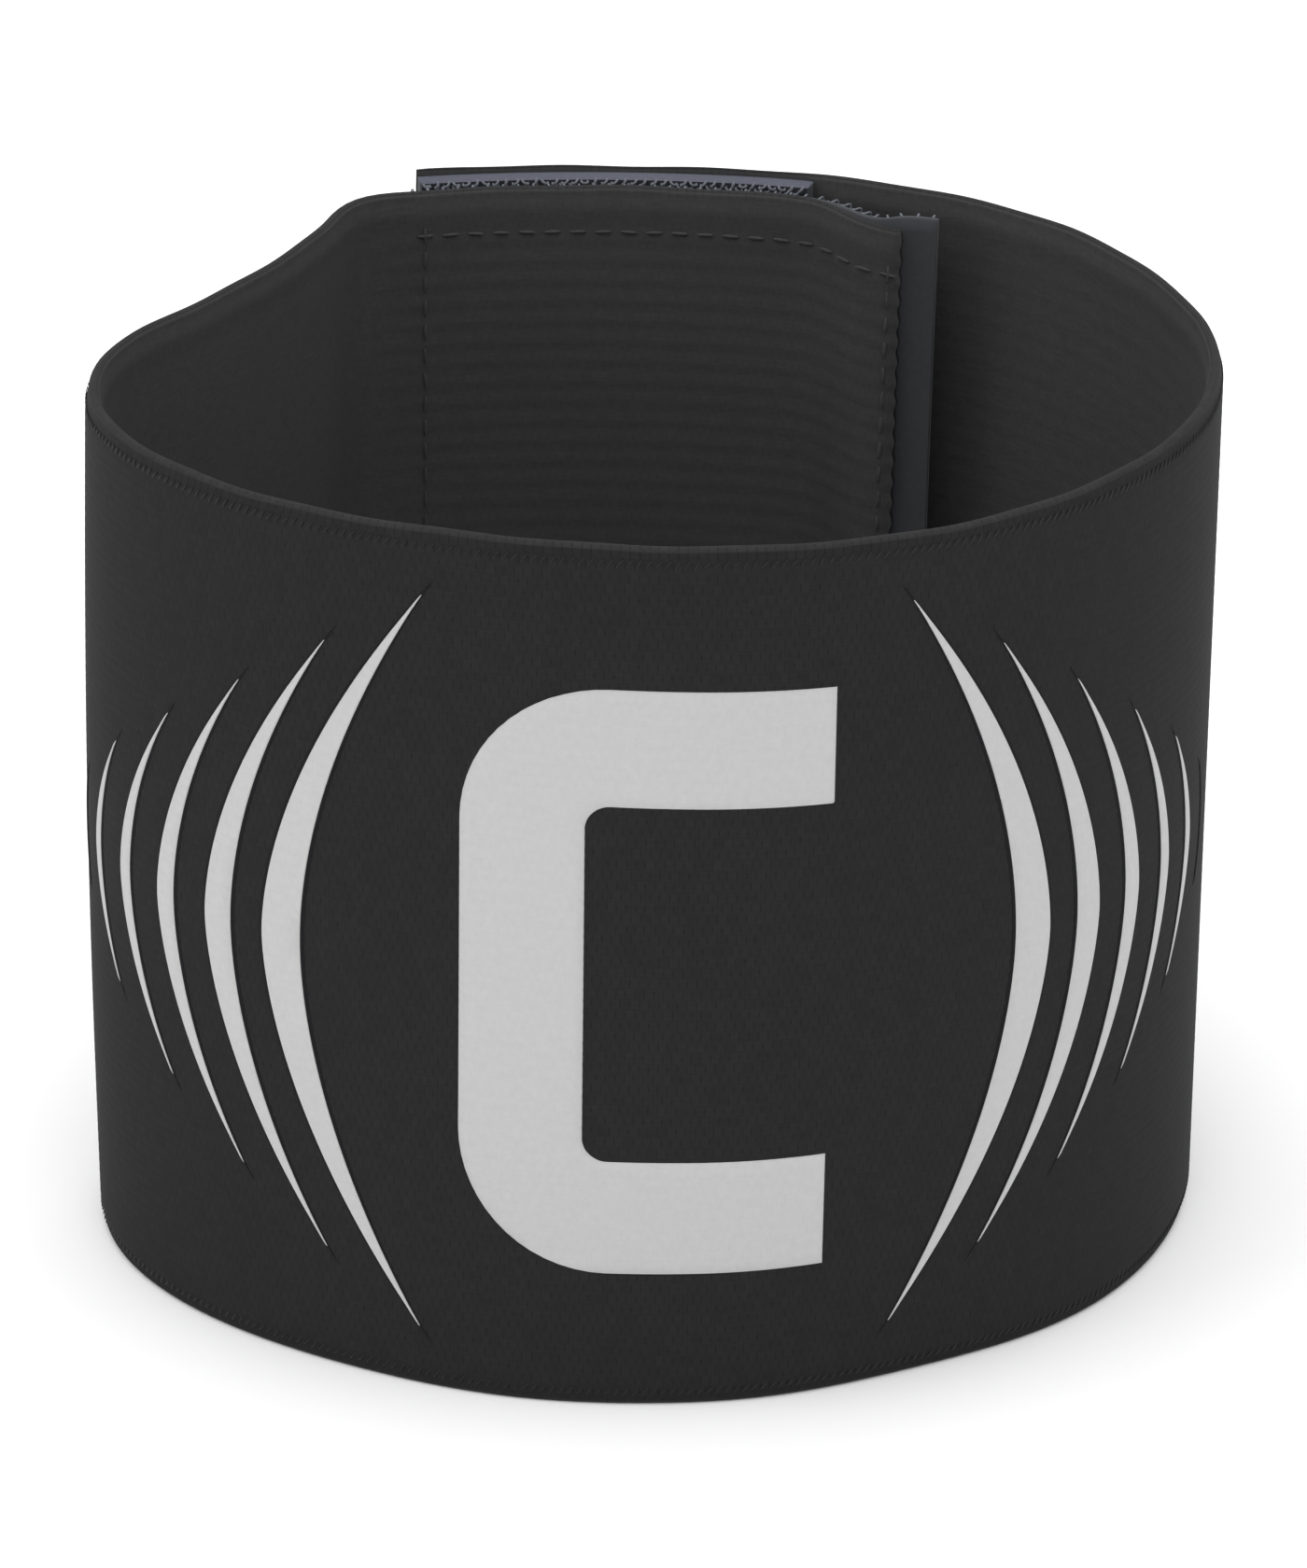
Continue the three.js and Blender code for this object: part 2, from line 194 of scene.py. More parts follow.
def place(along, height, offset, sinks=True):
    """Points in metres from distance along, height up and offset out from the middle, in mm."""
    along, height, offset = (
        np.asarray(a, float) for a in np.broadcast_arrays(along, height, offset)
    )
    offset = offset + bow_at(along, height)
    if sinks:
        height = height - CORNER_SINK * bow_at(along, height, [TAB_CORNER_BOW])
    tangent_x, tangent_y = tangent_at(along)
    beyond = np.minimum(along, 0)  # the tape reaches past the elastic's end, straight on
    x, y = (np.interp(along, route_along, route[:, i]) for i in (0, 1))
    x = x + tangent_x * beyond + tangent_y * offset + SHIFT[0]
    y = y + tangent_y * beyond - tangent_x * offset + SHIFT[1]
    return np.stack([x, y, height], -1) * MM


def outward_at(along):
    tangent_x, tangent_y = tangent_at(along)
    return np.stack([tangent_y, -tangent_x, np.zeros_like(tangent_x)], -1)


print("front middle at", place(FOREMOST, STRAP_HEIGHT / 2, HALF_THICKNESS))


# %% Keeping meshes
def new_object(name, data):
    obj = bpy.data.objects.new(name, data)
    bpy.context.scene.collection.objects.link(obj)
    return obj


def new_mesh(name, points, faces, edges=()):
    mesh = bpy.data.meshes.new(name)
    mesh.from_pydata(points.reshape(-1, 3).tolist(), list(edges), faces.tolist())
    return mesh


def set_attribute(mesh, label, values, kind="FLOAT", domain="POINT"):
    """Stores one value for each point or face, for the node trees to read."""
    field = "vector" if kind == "FLOAT_VECTOR" else "value"
    values = np.asarray(values, np.int32 if kind == "INT" else np.float32).ravel()
    mesh.attributes.new(label, kind, domain).data.foreach_set(field, values)


def set_strip_map(mesh, uv):
    """The strip's own map, in metres along and up, from one pair for each point."""
    corners = np.zeros(len(mesh.loops), int)
    mesh.loops.foreach_get("vertex_index", corners)
    flat = uv[corners].astype(np.float32).ravel()
    mesh.uv_layers.new(name="strip").uv.foreach_set("vector", flat)


def recalculated(mesh):
    """Turns all faces outwards."""
    work = bmesh.new()
    work.from_mesh(mesh)
    bmesh.ops.recalc_face_normals(work, faces=work.faces)
    work.to_mesh(mesh)
    work.free()
    return mesh


print("mesh helpers ready")

# %% [markdown]
# ## The camera
# It looks at the front from a little above, as a person does who picks the armband up from a
# table. A long lens keeps the upright edges nearly parallel.

# %% Camera
CAMERA_PLACE = (0.55, -605.60, 304.93)  # mm
CAMERA_ELEVATION = 24
CAMERA_ROLL = 0.68
camera_data = bpy.data.cameras.new("Camera")
camera_data.sensor_width = 36
camera_data.lens = 180
camera = new_object("Camera", camera_data)
camera.location = [x * MM for x in CAMERA_PLACE]
camera.rotation_euler = (math.radians(90 - CAMERA_ELEVATION), 0, 0)
camera.rotation_mode = "QUATERNION"
tilt = camera.rotation_euler.to_quaternion()
camera.rotation_quaternion = tilt @ Quaternion((0, 0, 1), math.radians(CAMERA_ROLL))
bpy.context.scene.camera = camera
print("lens", camera_data.lens)

# %% [markdown]
# ## Colours and nodes
# A colour is written as it looks on a screen, in hexadecimal, and a shader wants it linear. One
# function does that everywhere. One more adds a node with its settings and its links.

# %% Helpers for colours and nodes
def linear(hexadecimal):
    """A shader's linear colour from an sRGB colour such as '#2b2b2c'."""
    channels = [int(hexadecimal[i : i + 2], 16) / 255 for i in (1, 3, 5)]
    curve = [c / 12.92 if c <= 0.04045 else ((c + 0.055) / 1.055) ** 2.4 for c in channels]
    return (*curve, 1.0)


def add_node(tree, kind, sockets=None, **settings):
    """Adds a node. A socket takes a value, an output, or a node, whose first output it means."""
    node = tree.nodes.new(kind)
    for name, value in settings.items():
        setattr(node, name, value)
    for name, value in (sockets or {}).items():
        if isinstance(value, bpy.types.Node):
            value = value.outputs[0]
        if isinstance(value, bpy.types.NodeSocket):
            tree.links.new(value, node.inputs[name])
        else:
            node.inputs[name].default_value = value
    return node


def new_material(name):
    material = bpy.data.materials.new(name)
    material.use_nodes = True
    material.node_tree.nodes.clear()
    return material, material.node_tree


def strip_in_mm(tree):
    """The strip's own map, turned from metres to millimetres."""
    uv = add_node(tree, "ShaderNodeUVMap", uv_map="strip")
    return add_node(tree, "ShaderNodeVectorMath", {0: uv, "Scale": 1 / MM}, operation="SCALE")


print("black elastic is", [round(c, 4) for c in linear("#262627")])

# %% [markdown]
# ## Knitted elastic
# The band is polyester yarn knitted round rubber cords in rows 0.94 mm high. Each loop of yarn is
# 0.75 mm long, and pinholes show between loops. The eye sees a matte black with a fine grain. A
# Brick Texture has just this layout: rows with staggered joints. An image could show the knit too,
# but not follow a bend. This reads the piece's own map, so the grain follows the strip round every
# bend, and a little noise keeps the rows from looking ruled.

# %% Tone of the yarn
ROW_PITCH = STRAP_HEIGHT / 80
LOOP_PITCH = 0.75
WANDER = (0.3, 0.3, 0.0)  # mm, how far loops stray along and across
FIBRE_STRETCH = (0.3, 1.2, 1.0)  # fibres show as short streaks along the rows
FIBRES_PER_MM = 2.6
WEAR_PER_MM = 0.09  # patches about 11 mm across


def mottled(tree, vector, per_mm, detail, roughness, spread, strength):
    """A noise, and a tone made from it that strays from 1 by no more than the strength."""
    noise = add_node(tree, "ShaderNodeTexNoise", {
        "Vector": vector, "Scale": per_mm, "Detail": detail, "Roughness": roughness
    })
    tone = add_node(tree, "ShaderNodeMapRange", {
        0: noise, "From Min": 0.5 - spread, "From Max": 0.5 + spread,
        "To Min": 1 - strength, "To Max": 1 + strength
    })
    return noise, tone


def yarn_tone(tree, in_mm):
    """A fine streaky grain, and that grain times faint wide patches of wear."""
    streaks = add_node(
        tree, "ShaderNodeVectorMath", {0: in_mm, 1: FIBRE_STRETCH}, operation="MULTIPLY"
    )
    fibres, grain = mottled(tree, streaks, FIBRES_PER_MM, 4.0, 0.65, spread=0.2, strength=0.1)
    _, patches = mottled(tree, in_mm, WEAR_PER_MM, 3.0, 0.5, spread=0.15, strength=0.015)
    return fibres, add_node(tree, "ShaderNodeMath", {0: grain, 1: patches}, operation="MULTIPLY")


def pinholes_in(tree, wandered, joints, row_height):
    """The yarn closes the joints between rows: only the middle of each upright joint is open."""
    parts = add_node(tree, "ShaderNodeSeparateXYZ", {0: wandered})
    turn = add_node(
        tree, "ShaderNodeMath", {0: parts.outputs["Y"], 1: math.pi / row_height},
        operation="MULTIPLY"
    )
    wave = add_node(tree, "ShaderNodeMath", {0: turn}, operation="SINE")
    middle = add_node(tree, "ShaderNodeMath", {0: wave, 1: wave}, operation="MULTIPLY")
    open_part = add_node(tree, "ShaderNodeMapRange", {0: middle, "From Min": 0.2, "From Max": 0.75})
    return add_node(tree, "ShaderNodeMath", {0: joints, 1: open_part}, operation="MULTIPLY")


print("rows", round(ROW_PITCH, 3), "mm, loops", LOOP_PITCH, "mm")


# %% The knit's recipe
def knitted_material(name, light, dark, gap, row_height, roughness, bump_mm):
    """Yarn of two tones in staggered rows, with pinholes in a third."""
    material, tree = new_material(name)
    in_mm = strip_in_mm(tree)
    wander = add_node(tree, "ShaderNodeTexNoise", {"Vector": in_mm, "Scale": 0.9, "Detail": 2.0})
    wandered = add_node(
        tree, "ShaderNodeVectorMath", {0: wander.outputs["Color"], 1: WANDER, 2: in_mm},
        operation="MULTIPLY_ADD"
    )
    loops = add_node(
        tree, "ShaderNodeTexBrick",
        {
            "Vector": wandered, "Color1": linear(light), "Color2": linear(dark),
            "Mortar": linear(dark), "Scale": 1.0, "Mortar Size": 0.075, "Mortar Smooth": 1.0,
            "Bias": -0.2, "Brick Width": LOOP_PITCH, "Row Height": row_height
        },
        offset=0.5
    )
    fibres, tone = yarn_tone(tree, in_mm)
    pinholes = pinholes_in(tree, wandered, loops.outputs["Fac"], row_height)
    yarn = add_node(
        tree, "ShaderNodeMix", {"Factor": pinholes, 6: loops, 7: linear(gap)}, data_type="RGBA"
    )
    colour = add_node(
        tree, "ShaderNodeVectorMath", {0: yarn.outputs[2], "Scale": tone.outputs[0]},
        operation="SCALE"
    )
    relief = add_node(
        tree, "ShaderNodeMath", {0: pinholes, 1: -1.0, 2: fibres}, operation="MULTIPLY_ADD"
    )
    bump = add_node(
        tree, "ShaderNodeBump", {"Height": relief, "Distance": bump_mm * MM, "Strength": 1.0}
    )
    shader = add_node(tree, "ShaderNodeBsdfPrincipled", {
        "Base Color": colour, "Roughness": roughness, "Specular IOR Level": 0.12,
        "Sheen Weight": 0.02, "Sheen Roughness": 0.35, "Sheen Tint": linear("#b9b9bd"),
        "Normal": bump
    })
    add_node(tree, "ShaderNodeOutputMaterial", {"Surface": shader})
    return material


print("knit recipe ready")

# %% [markdown]
# ## Outer face, ribbed inner face and selvedge
# Inside, the rubber cords stand up as ribs 1.9 mm apart. The yarn over them is the same, so the
# same recipe serves for both faces. Both edges end in a selvedge, a tight smooth bead of yarn.

# %% Elastic materials
RIB_PITCH = STRAP_HEIGHT / 40
# Polyester, knitted and worn soft: matte, with hardly any shine.
elastic_outside = knitted_material(
    "knitted polyester elastic, outer face", "#262627", "#232324", "#1d1d1e", ROW_PITCH, 0.88, 0.028
)
# The unpressed side: the same yarn, its colour painted lighter than the outer face's, as painted
# fill light for the shaded inside of the loop.
elastic_inside_painted_lighter = knitted_material(
    "knitted polyester elastic, ribbed inner face", "#414142", "#3f3f40", "#3c3c3d", ROW_PITCH,
    0.86, 0.015
)
# Finer, tighter rows; the bead's colour is painted a little lighter than the outer face, a painted
# highlight along the rim lit from above.
selvedge = knitted_material(
    "knitted selvedge bead, painted highlight", "#2f2f30", "#2c2c2d", "#252526", 0.4, 0.85, 0.03
)
print("ribs", RIB_PITCH, "mm apart")

# %% [markdown]
# ## Cross-section of the strip
# Cut across, the strip is a flat bar 1.5 mm thick with a round bead along each edge. The mesh takes
# its columns from here: eight to each rib, so the ribs come out round. The outer and the inner
# side have the same number of columns, which lets the cut ends be closed with simple quads.

# %% Cross-section
BEAD_RADIUS = 0.48
BASE_OUTSIDE = 0.70
BASE_INSIDE = 0.62  # a little thinner where the ribs stand on it
ROW_RELIEF = 0.025
RIB_RELIEF = 0.04
EDGE_BAND = 2 * RIB_PITCH  # plain, without ribs, along each edge
COLUMN_STEP = RIB_PITCH / 8
NECK_HEIGHTS, NECK_REACH = [1.20, 1.60, 1.95], [0.84, 0.95, 1.0]  # from the bead to full thickness

bead_angles = np.radians([-86, -62, -38, -16, 2, 14])
bead_height = BEAD_RADIUS * (1 + np.sin(bead_angles))
body_heights = np.arange(10, 311) * COLUMN_STEP
lower = np.concatenate([bead_height, NECK_HEIGHTS])
side_heights = np.concatenate([lower, body_heights, (STRAP_HEIGHT - lower)[::-1]])
reach = np.ones(len(side_heights))
edge_reach = np.concatenate([np.cos(bead_angles) * BEAD_RADIUS / BASE_OUTSIDE, NECK_REACH])
reach[: len(lower)] = edge_reach
reach[-len(lower) :] = edge_reach[::-1]


def smooth(x, low, high):
    t = np.clip((x - low) / (high - low), 0, 1)
    return t * t * (3 - 2 * t)


from_edge = np.minimum(side_heights, STRAP_HEIGHT - side_heights)
rib_bed = 1 - smooth(from_edge, 1.9, EDGE_BAND)
thin_inside = BASE_INSIDE + (BASE_OUTSIDE - BASE_INSIDE) * rib_bed
print(len(side_heights), "columns on each side")

# %% [markdown]
# ## Lofting the strip
# A length of strip is a loft: the cross-section repeated along the route. Extruding along a curve
# would turn the section evenly, but here each place has its own facts: a cut end is sealed thin,
# the tape presses the flap flat, and the upper edge waves a little. So each ring is worked out.

# %% Rings along the strip
ROW_STEP = 1.25
SEAL_STEPS = (0.12, 0.35, 0.8)  # extra rings at a cut end, to round it
SEAL_LENGTH, SEALED_SHARE = 0.9, 0.55
CUT_NOTCH, NOTCH_LENGTH = 0.1, 2.0
EDGE_WAVES = ((0.05, 0.53, 0), (0.04, 0.217, 1.3))  # height in mm, turn for each mm, start
LOOP_TAPE_START = STRIP_END - 35
BACKED_THINNING = 0.75  # how much of the inner half is pressed flat where tape is sewn over it


def ribbing_at(along):
    """How far the ribs stand up: fully in the sewn tab, hardly in the left wall, half elsewhere."""
    left_wall = smooth(along, TAB_ARC_END, TAB_ARC_END + 8)
    beyond_limb = smooth(along, LEFT_LIMB - 4, LEFT_LIMB + 6)
    return 1 - 0.92 * left_wall + 0.42 * beyond_limb


def ring_distances(start, end, sealed_start, sealed_end):
    count = max(2, round((end - start) / ROW_STEP))
    distances = list(np.linspace(start, end, count + 1))
    if sealed_start:
        distances[1:1] = [start + step for step in SEAL_STEPS]
    if sealed_end:
        distances[-1:-1] = [end - step for step in reversed(SEAL_STEPS)]
    return np.array(distances)


def ring_shape(distances, start, end, sealed_start, sealed_end):
    """For each point of each side: its distance along, its height, and how far out and in."""
    thickness = np.ones(len(distances))
    if sealed_start:
        full = smooth(distances, start, start + SEAL_LENGTH)
        thickness *= SEALED_SHARE + (1 - SEALED_SHARE) * full
    if sealed_end:
        full = 1 - smooth(distances, end - SEAL_LENGTH, end)
        thickness *= SEALED_SHARE + (1 - SEALED_SHARE) * full
    wave = sum(high * np.sin(distances * turn + begin) for high, turn, begin in EDGE_WAVES)
    top_share = smooth(side_heights, 0.5 * STRAP_HEIGHT, STRAP_HEIGHT)
    heights = side_heights[None, :] + wave[:, None] * top_share[None, :]
    outer = (BASE_OUTSIDE * reach)[None, :] * thickness[:, None]
    backed = smooth(distances, LOOP_TAPE_START - 0.6, LOOP_TAPE_START + 0.6)
    bead_share = BEAD_RADIUS / BASE_OUTSIDE
    inner_reach = np.where(from_edge > BEAD_RADIUS, np.maximum(reach, bead_share), reach)
    inner = (-thin_inside * inner_reach)[None, :] * (
        thickness * (1 - BACKED_THINNING * backed)
    )[:, None]
    along = distances[:, None] + np.zeros_like(heights)
    if sealed_start:  # the cut ribs shrink back less than the yarn between them
        notch = CUT_NOTCH * np.cos(math.tau * heights / RIB_PITCH)
        along += notch * (1 - smooth(distances, start, start + NOTCH_LENGTH))[:, None]
    return thickness, along, heights, outer, inner


print("a ring every", ROW_STEP, "mm")

# %% A length of strip
OUTER_BEAD, INNER_BEAD = 3, 1  # columns of selvedge: outside it reaches further down
OUTER_FACE, INNER_FACE, SELVEDGE = 0, 1, 2


def build_section(name, start, end, sealed_start=False, sealed_end=False):
    """A length of the strip as a closed mesh with what the relief nodes need to know."""
    distances = ring_distances(start, end, sealed_start, sealed_end)
    thickness, along, heights, outer, inner = ring_shape(
        distances, start, end, sealed_start, sealed_end
    )
    columns = len(side_heights)
    ring = 2 * columns
    sides = [place(along, heights, outer), place(along, heights, inner)[:, ::-1]]
    index = np.arange(len(distances) * ring).reshape(-1, ring)
    k = np.arange(ring)
    following = (k + 1) % ring
    corners = [index[:-1, k], index[1:, k], index[1:, following], index[:-1, following]]
    walls = np.stack(corners, -1).reshape(-1, 4)
    j = np.arange(columns - 1)
    across_cut = [j, j + 1, ring - 2 - j, ring - 1 - j]
    caps = [np.stack([index[row, c] for c in across_cut], -1) for row in (0, -1)]
    faces = np.concatenate([walls, caps[0], caps[1][:, ::-1]])
    mesh = new_mesh(name, np.concatenate(sides, 1), faces)
    ring_along = np.concatenate([along, along[:, ::-1]], 1)
    ring_heights = np.concatenate([heights, heights[:, ::-1]], 1)
    set_strip_map(mesh, np.stack([ring_along, ring_heights], -1).reshape(-1, 2) * MM)

    ring_from_edge = np.tile(np.concatenate([from_edge, from_edge[::-1]]), len(distances))
    outside = np.tile(k < columns, len(distances))
    out = np.repeat(outward_at(distances), ring, 0) * np.where(outside, 1, -1)[:, None]
    seal = np.repeat(smooth(thickness, 0.6, 1.0), ring)
    ribs = np.where(outside, 0, smooth(ring_from_edge, EDGE_BAND - 0.6, EDGE_BAND)) * seal
    ribs *= np.repeat(ribbing_at(distances), ring)
    rows = np.where(outside, smooth(ring_from_edge, 1.5, 2.2), 0) * seal
    set_attribute(mesh, "across", ring_heights * MM)
    set_attribute(mesh, "ribs", ribs)
    set_attribute(mesh, "rows", rows)
    set_attribute(mesh, "outward", out, "FLOAT_VECTOR")

    face_columns = np.concatenate([np.tile(k, len(distances) - 1), np.tile(j, 2)])
    is_outer = face_columns < columns
    folded = np.where(is_outer, face_columns, ring - 1 - face_columns)
    bead = np.where(is_outer, OUTER_BEAD, INNER_BEAD)
    on_bead = (folded < bead) | (folded >= columns - bead - 1)
    finish = np.where(on_bead, SELVEDGE, np.where(is_outer, OUTER_FACE, INNER_FACE))
    set_attribute(mesh, "finish", finish, "INT", "FACE")
    return new_object(name, mesh)


print("sections close with", len(side_heights) - 1, "quads at each cut")

# %% [markdown]
# ## Ribs and rows with Geometry Nodes
# A rib is a rule: a wave across the strip, raised along the surface. The tree below reads how far
# up the strip a point is, makes the wave from it, and moves the point outwards. The sizes are
# inputs, so another elastic needs only other numbers. It ends by giving each face its material.

# %% Groups with named inputs
def group_with_inputs(name, inputs):
    tree = bpy.data.node_groups.new(name, "GeometryNodeTree")
    for label, kind in [("Geometry", "Geometry")] + inputs:
        tree.interface.new_socket(label, in_out="INPUT", socket_type="NodeSocket" + kind)
    tree.interface.new_socket("Geometry", in_out="OUTPUT", socket_type="NodeSocketGeometry")
    return tree, tree.nodes.new("NodeGroupInput").outputs


relief_tree, size = group_with_inputs(
    "knitted_relief",
    [(label, "Float") for label in ("Rib Pitch", "Rib Relief", "Row Pitch", "Row Relief")]
    + [(label, "Material") for label in ("Outer Face", "Inner Face", "Selvedge")],
)
print("relief inputs:", [output.name for output in size if output.name])

# %% The relief tree
READ = "GeometryNodeInputNamedAttribute"
across = add_node(relief_tree, READ, {"Name": "across"}, data_type="FLOAT")
lifts = []
for feature, mask in (("Rib", "ribs"), ("Row", "rows")):
    pitch, height = size[feature + " Pitch"], size[feature + " Relief"]
    turns = add_node(relief_tree, "ShaderNodeMath", {0: across, 1: pitch}, operation="DIVIDE")
    angle = add_node(relief_tree, "ShaderNodeMath", {0: turns, 1: math.tau}, operation="MULTIPLY")
    wave = add_node(relief_tree, "ShaderNodeMath", {0: angle}, operation="COSINE")
    share = add_node(
        relief_tree, "ShaderNodeMapRange", {0: wave, "From Min": 1.0, "From Max": -1.0}
    )
    where = add_node(relief_tree, READ, {"Name": mask}, data_type="FLOAT")
    masked = add_node(relief_tree, "ShaderNodeMath", {0: share, 1: where}, operation="MULTIPLY")
    lifts.append(
        add_node(relief_tree, "ShaderNodeMath", {0: masked, 1: height}, operation="MULTIPLY")
    )
lift = add_node(relief_tree, "ShaderNodeMath", {0: lifts[0], 1: lifts[1]}, operation="ADD")
outward = add_node(relief_tree, READ, {"Name": "outward"}, data_type="FLOAT_VECTOR")
move = add_node(
    relief_tree, "ShaderNodeVectorMath", {0: outward, "Scale": lift.outputs[0]}, operation="SCALE"
)
moved = add_node(
    relief_tree, "GeometryNodeSetPosition", {"Geometry": size["Geometry"], "Offset": move}
)
shown = add_node(relief_tree, "GeometryNodeRealizeInstances", {"Geometry": moved})
finish_of_face = add_node(relief_tree, READ, {"Name": "finish"}, data_type="INT")
for label, number in (
    ("Outer Face", OUTER_FACE), ("Inner Face", INNER_FACE), ("Selvedge", SELVEDGE)
):
    chosen = add_node(
        relief_tree, "FunctionNodeCompare", {2: finish_of_face, 3: number}, data_type="INT",
        operation="EQUAL"
    )
    shown = add_node(relief_tree, "GeometryNodeSetMaterial", {
        "Geometry": shown, "Selection": chosen, "Material": size[label]
    })
add_node(relief_tree, "NodeGroupOutput", {"Geometry": shown})
print("relief tree has", len(relief_tree.nodes), "nodes")


# %% Running a tree and keeping its mesh
def grown(host, tree, inputs, name):
    """The plain mesh that a tree makes from a host object, as a new object. The host is removed."""
    modifier = host.modifiers.new("grow", "NODES")
    modifier.node_group = tree
    identifiers = {
        item.name: item.identifier for item in tree.interface.items_tree if item.in_out == "INPUT"
    }
    for label, value in inputs.items():
        modifier[identifiers[label]] = value
    evaluated = host.evaluated_get(bpy.context.evaluated_depsgraph_get())
    mesh = bpy.data.meshes.new_from_object(evaluated)
    old_mesh = host.data
    bpy.data.objects.remove(host)
    bpy.data.meshes.remove(old_mesh)
    mesh.name = name
    mesh.shade_smooth()
    print(name, len(mesh.polygons), "faces")
    return new_object(name, mesh)


# %% [markdown]
# ## Four lengths of elastic
# The real strip is in one piece. It flexes at four places, and a length of mesh can bend between
# two bodies only, so it is made in four lengths. Each is cut where the strip stays rigid, halfway
# between two flexing lines, and the cut faces meet exactly, so no cut shows.

# %% Build the elastic
RIGHT_WALL_MIDDLE = 262.7
FLAP_MIDDLE = 295.2
CREASE = math.radians(70)  # edges sharper than this aren't smoothed over
relief_inputs = {
    "Rib Pitch": RIB_PITCH * MM, "Rib Relief": RIB_RELIEF * MM, "Row Pitch": ROW_PITCH * MM,
    "Row Relief": ROW_RELIEF * MM, "Outer Face": elastic_outside, "Inner Face": elastic_inside_painted_lighter,
    "Selvedge": selvedge
}
LENGTHS = {
    "tab": (0, LEFT_LIMB), "front": (LEFT_LIMB, RIGHT_WALL_MIDDLE),
    "right": (RIGHT_WALL_MIDDLE, FLAP_MIDDLE), "flap": (FLAP_MIDDLE, STRIP_END)
}
elastic = {}
for part, (start, end) in LENGTHS.items():
    host = build_section("plain_" + part, start, end, part == "tab", part == "flap")
    recalculated(host.data)
    elastic[part] = grown(host, relief_tree, relief_inputs, "elastic_" + part)
    elastic[part].data.set_sharp_from_angle(angle=CREASE)

# %% [markdown]
# ## Printed film
# The letter and the stripes are cut from heat transfer film, about 0.1 mm thick, and pressed into
# the knit. Film is neither flat plastic nor paint: it is matte, its edge is a soft step, and the
# rows of the knit show through it as a faint relief. A decal in the elastic's material would have
# no edge, so each film is a thin slab of its own.

# %% Film materials
PRESS_DEPTH = 0.02  # mm


def film_material(name, colour, roughness, specular):
    """Film pressed on the knit: even, faintly mottled, with the rows just showing in its relief."""
    material, tree = new_material(name)
    in_mm = strip_in_mm(tree)
    knit = add_node(
        tree, "ShaderNodeTexBrick",
        {
            "Vector": in_mm, "Scale": 1.0, "Mortar Size": 0.12, "Mortar Smooth": 1.0,
            "Brick Width": LOOP_PITCH, "Row Height": ROW_PITCH
        },
        offset=0.5
    )
    _, tint = mottled(tree, in_mm, 1.4, 5.0, 0.5, spread=0.2, strength=0.025)
    shade = add_node(
        tree, "ShaderNodeVectorMath", {0: linear(colour)[:3], "Scale": tint.outputs[0]},
        operation="SCALE"
    )
    pressed = add_node(
        tree, "ShaderNodeBump",
        {"Height": knit.outputs["Fac"], "Distance": PRESS_DEPTH * MM, "Strength": 0.6}, invert=True
    )
    shader = add_node(tree, "ShaderNodeBsdfPrincipled", {
        "Base Color": shade, "Roughness": roughness, "Specular IOR Level": specular,
        "Normal": pressed
    })
    add_node(tree, "ShaderNodeOutputMaterial", {"Surface": shader})
    return material


# Pigmented polyurethane: a flat off-white, with no gloss.
white_film = film_material("matte polyurethane transfer film, off-white", "#bababa", 0.7, 0.2)
# Unpigmented carrier: it only smooths and darkens the elastic under it.
dark_film = film_material("clear carrier film over black elastic", "#1a1a1c", 0.75, 0.1)
print("film materials made")

# %% [markdown]
# ## Slabs on the strip
# Film and tape are both thin sheets that lie on the strip. Solidify could thicken a surface, but
# film needs its rim sunk in the knit and tape needs a rounded edge, so both faces are placed one
# by one and one helper joins them.

# %% Slabs
FILM_SUNK = 0.60  # the film's underside, well inside the elastic
RIM_SUNK = 0.04


def rim_of(shape):
    rim = np.zeros(shape, bool)
    rim[0] = rim[-1] = True
    rim[:, 0] = rim[:, -1] = True
    return rim


def slab(name, outer, inner):
    """A closed mesh between two grids of points, with a wall round the rim."""
    row_count, column_count = outer.shape[:2]
    count = row_count * column_count
    index = np.arange(count).reshape(row_count, column_count)
    corners = [index[:-1, :-1], index[1:, :-1], index[1:, 1:], index[:-1, 1:]]
    quads = np.stack(corners, -1).reshape(-1, 4)
    loop = np.concatenate([index[:-1, 0], index[-1, :-1], index[:0:-1, -1], index[0, :0:-1]])
    following = np.roll(loop, -1)
    sides = np.stack([loop, following, following + count, loop + count], -1)
    faces = np.concatenate([quads, quads[:, ::-1] + count, sides])
    return recalculated(new_mesh(name, np.stack([outer, inner]), faces))


def film_piece(name, rows, lift_mm, material):
    """A film from rows of (along, height). Its rim is sunk in the knit and it rises to lift_mm."""
    rows = np.array(rows, float)
    along, height = rows[..., 0], rows[..., 1]
    sunk, raised = HALF_THICKNESS - RIM_SUNK, HALF_THICKNESS + lift_mm
    top = place(along, height, np.where(rim_of(along.shape), sunk, raised))
    mesh = slab(name, top, place(along, height, FILM_SUNK))
    set_strip_map(mesh, np.tile(rows.reshape(-1, 2), (2, 1)) * MM)
    mesh.materials.append(material)
    mesh.shade_smooth()
    mesh.set_sharp_from_angle(angle=math.radians(50))
    return new_object(name, mesh)


print("film lies", RIM_SUNK, "mm deep at its rim")

# %% [markdown]
# ## The letter
# The letter is a ribbon of even stroke. It could be a text object, but a font's letter would have
# to be bent round the front. A ribbon that follows a path on the strip bends with it at once.

# %% The letter
MIDDLE_HEIGHT = STRAP_HEIGHT / 2
PRINT_MIDDLE = FOREMOST - 2.4
LETTER_MIDDLE = PRINT_MIDDLE - 1.5
LETTER_WIDTH = 29.5
LETTER_HEIGHT = 51.0
STROKE = 10.0
CORNER_RADIUS = 7.0  # of the stroke's middle line
FILM_RIM = 0.12
FILM_THICKNESS = 0.10


